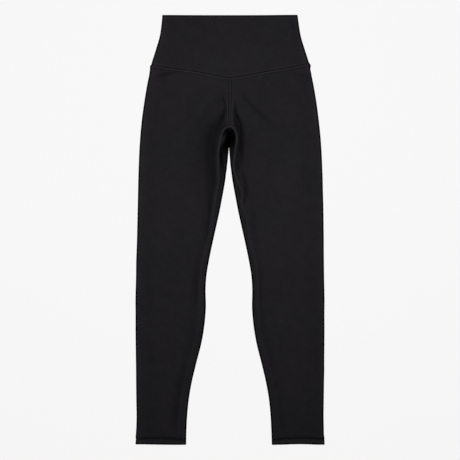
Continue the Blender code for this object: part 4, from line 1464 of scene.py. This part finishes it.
class LeggingsStitching(bpy.types.PropertyGroup):
    """Thread and stitches of the leggings"""

    length: FloatProperty(
        name="Stitch length", description="Length of one stitch on the face", default=0.0024,
        min=0.001, max=0.005, precision=5, unit="LENGTH")
    spacing: FloatProperty(
        name="Stitch spacing", description="Distance from one stitch to the next", default=0.0031,
        min=0.0015, max=0.006, precision=5, unit="LENGTH")
    width: FloatProperty(
        name="Thread width", description="Width of the thread as it lies", default=0.00045,
        min=0.0002, max=0.001, precision=5, unit="LENGTH")
    colour: FloatVectorProperty(
        name="Thread colour", description="Colour of the seam thread", subtype="COLOR",
        default=(0.0085, 0.0080, 0.0092), min=0.0, max=1.0)
    end_colour: FloatVectorProperty(
        name="Thread end colour", description="Colour of the pale thread end at the right hem",
        subtype="COLOR", default=(0.55, 0.54, 0.55), min=0.0, max=1.0)


class LeggingsStage(bpy.types.PropertyGroup):
    """Floor, light and camera"""

    floor_glow: FloatProperty(
        name="Floor glow", description="Brightness of the lit floor table", default=0.876,
        min=0.0, max=2.0)
    floor_colour: FloatProperty(
        name="Floor paint", description="How much of the other light the floor gives back",
        default=0.08, min=0.0, max=0.9, subtype="FACTOR")
    sky: FloatProperty(
        name="Room light", description="Brightness of the even light from all round", default=0.12,
        min=0.0, max=2.0)
    key: FloatProperty(
        name="Softbox power", description="Power of the softbox over the hips", default=14.0,
        min=0.0, max=500.0, unit="POWER")
    picture_width: FloatProperty(
        name="Picture width", description="Width of floor that the picture takes in", default=0.943,
        min=0.3, max=4.0, unit="LENGTH")
    lens: FloatProperty(
        name="Lens", description="Focal length of the camera in millimetres", default=200.0,
        min=20.0, max=400.0)


def cloth_of(part):
    """The cloth material of the legs, the waistband or the gusset, made once."""
    name = part + "_cloth"
    if name not in bpy.data.materials:
        knit = bpy.data.node_groups.get("brushed_knit") or knit_group()
        cloth_material(name, bpy.context.scene.leggings_cloth, knit)
    return bpy.data.materials[name]


class LEGGINGS_OT_waistband(bpy.types.Operator):
    """Make the front and back of the waistband, folded double at the waist edge"""

    bl_idname = "leggings.waistband"
    bl_label = "Waistband"

    def execute(self, context):
        settings = context.scene.leggings_cloth
        material = cloth_of("waistband")
        for name, front, node, under in (("back_waistband", False, "waistband_back", "floor"),
                                         ("front_waistband", True, "waistband_front", "back_waistband")):
            grid, painted_shade = band_grid(front)
            piece, flat, area = cloth_sheet(name, grid, painted_shade, settings.wall, material, not front)
            declare(piece, [node], flat, area)
        return {"FINISHED"}


class LEGGINGS_OT_legs(bpy.types.Operator):
    """Make both legs, each one sheet round the leg with its hem turned up inside"""

    bl_idname = "leggings.legs"
    bl_label = "Legs"

    def execute(self, context):
        settings = context.scene.leggings_cloth
        material = cloth_of("leg")
        for side in (RIGHT, LEFT):
            grid, painted_shade = leg_grid(side)
            name = side.name + "_leg"
            piece, flat, area = cloth_sheet(name, grid, painted_shade, settings.wall, material, side.sign > 0)
            declare(piece, ["leg_" + side.name], flat, area)
        return {"FINISHED"}


class LEGGINGS_OT_gusset(bpy.types.Operator):
    """Make the crotch gusset under the arch of the front"""

    bl_idname = "leggings.gusset"
    bl_label = "Gusset"

    def execute(self, context):
        settings = context.scene.leggings_cloth
        grid, painted_shade = gusset_grid()
        piece, flat, area = cloth_sheet(
            "crotch_gusset", grid, painted_shade, settings.wall, cloth_of("gusset"), False)
        declare(piece, ["gusset"], flat, area)
        return {"FINISHED"}


class LEGGINGS_OT_stitching(bpy.types.Operator):
    """Make the rows of stitches at the seams and hems, and the loose thread end at the right hem"""

    bl_idname = "leggings.stitching"
    bl_label = "Stitching"

    def execute(self, context):
        settings = context.scene.leggings_stitching
        thread = thread_material("seam_thread", settings.colour)
        rows = {
            "waist_stitches": waist_stitch_lines(),
            "centre_seam_stitches": centre_stitch_lines(),
            "right_inseam_stitches": inseam_stitch_lines(RIGHT),
            "left_inseam_stitches": inseam_stitch_lines(LEFT),
            "hem_stitches": hem_stitch_lines(),
        }
        for name, lines in rows.items():
            stitches = [s for line in lines for s in stitches_on(*line, settings.spacing)]
            thread_piece(name, stitches, settings.length, settings.width, thread)
        path = THREAD_END + np.outer((0.0, 1.0), THREAD_END_WAY)
        pale = thread_material("pale_thread", settings.end_colour)
        thread_piece("thread_end", stitches_on(RIGHT, path, "front", 0.001)[:1], *THREAD_END_SIZE, pale)
        return {"FINISHED"}


class LEGGINGS_OT_stage(bpy.types.Operator):
    """Make the pale floor, the soft light and the camera"""

    bl_idname = "leggings.stage"
    bl_label = "Stage"

    def execute(self, context):
        settings = context.scene.leggings_stage
        scene = context.scene
        bpy.ops.mesh.primitive_plane_add(size=FLOOR_SIZE, location=(0, 0, -FLOOR_DROP))
        floor = context.object
        floor.name = "floor"
        paint = new_material("floor_paint", {
            "Roughness": 0.9, "Specular IOR Level": 0.0,
            "Base Color": (*[settings.floor_colour] * 3, 1.0),
            "Emission Color": FLOOR_TINT, "Emission Strength": settings.floor_glow,
        })[0]
        floor.data.materials.append(paint)

        world = bpy.data.worlds.new("room")
        world.use_nodes = True
        tree = world.node_tree
        sky = tree.nodes["Background"]
        sky.inputs["Color"].default_value = (1.0, 1.0, 1.0, 1.0)
        path = tree.nodes.new("ShaderNodeLightPath")
        strength = tree.nodes.new("ShaderNodeMix")
        strength.data_type = "FLOAT"
        set_inputs(strength, {"A": settings.sky, "B": BACKDROP_GLOW})
        tree.links.new(path.outputs["Is Camera Ray"], strength.inputs["Factor"])
        tree.links.new(strength.outputs["Result"], sky.inputs["Strength"])
        scene.world = world

        light = bpy.data.lights.new("softbox", "AREA")
        light.shape = "RECTANGLE"
        light.size, light.size_y = SOFTBOX_SIZE
        light.energy = settings.key
        softbox = bpy.data.objects.new("softbox", light)
        softbox.location = SOFTBOX_PLACE
        softbox.rotation_euler = Euler((SOFTBOX_TILT, 0, 0))
        softbox.visible_camera = False
        scene.collection.objects.link(softbox)

        lens = bpy.data.cameras.new("camera")
        lens.lens = settings.lens
        lens.clip_end = 100.0
        camera = bpy.data.objects.new("camera", lens)
        distance = settings.picture_width * settings.lens / lens.sensor_width
        camera.location = (0.0, PICTURE_MIDDLE, distance)
        scene.collection.objects.link(camera)
        scene.camera = camera
        scene.view_settings.view_transform = "Standard"
        return {"FINISHED"}


class LEGGINGS_PT_panel(bpy.types.Panel):
    """Pieces of the leggings"""

    bl_idname = "LEGGINGS_PT_panel"
    bl_label = "Leggings"
    bl_space_type = "VIEW_3D"
    bl_region_type = "UI"
    bl_category = "Leggings"

    def draw(self, context):
        layout = self.layout
        for settings, group in SETTINGS.items():
            box = layout.box()
            for name in group.__annotations__:
                box.prop(getattr(context.scene, settings), name)
        for operator in OPERATORS:
            layout.operator(operator.bl_idname)


SETTINGS = {
    "leggings_cloth": LeggingsCloth,
    "leggings_stitching": LeggingsStitching,
    "leggings_stage": LeggingsStage,
}
OPERATORS = (
    LEGGINGS_OT_waistband,
    LEGGINGS_OT_legs,
    LEGGINGS_OT_gusset,
    LEGGINGS_OT_stitching,
    LEGGINGS_OT_stage,
)


CLASSES = (*SETTINGS.values(), *OPERATORS, LEGGINGS_PT_panel)


def register():
    """Makes the settings, the operators and the panel known."""
    for item in CLASSES:
        bpy.utils.register_class(item)
    for name, group in SETTINGS.items():
        setattr(bpy.types.Scene, name, PointerProperty(type=group))


def unregister():
    """Takes away what register has made known."""
    for name in SETTINGS:
        delattr(bpy.types.Scene, name)
    for item in reversed(CLASSES):
        bpy.utils.unregister_class(item)


def main():
    """Makes every piece and the stage."""
    register()
    bpy.ops.leggings.waistband()
    bpy.ops.leggings.legs()
    bpy.ops.leggings.gusset()
    bpy.ops.leggings.stitching()
    bpy.ops.leggings.stage()


if __name__ == "__main__":
    main()
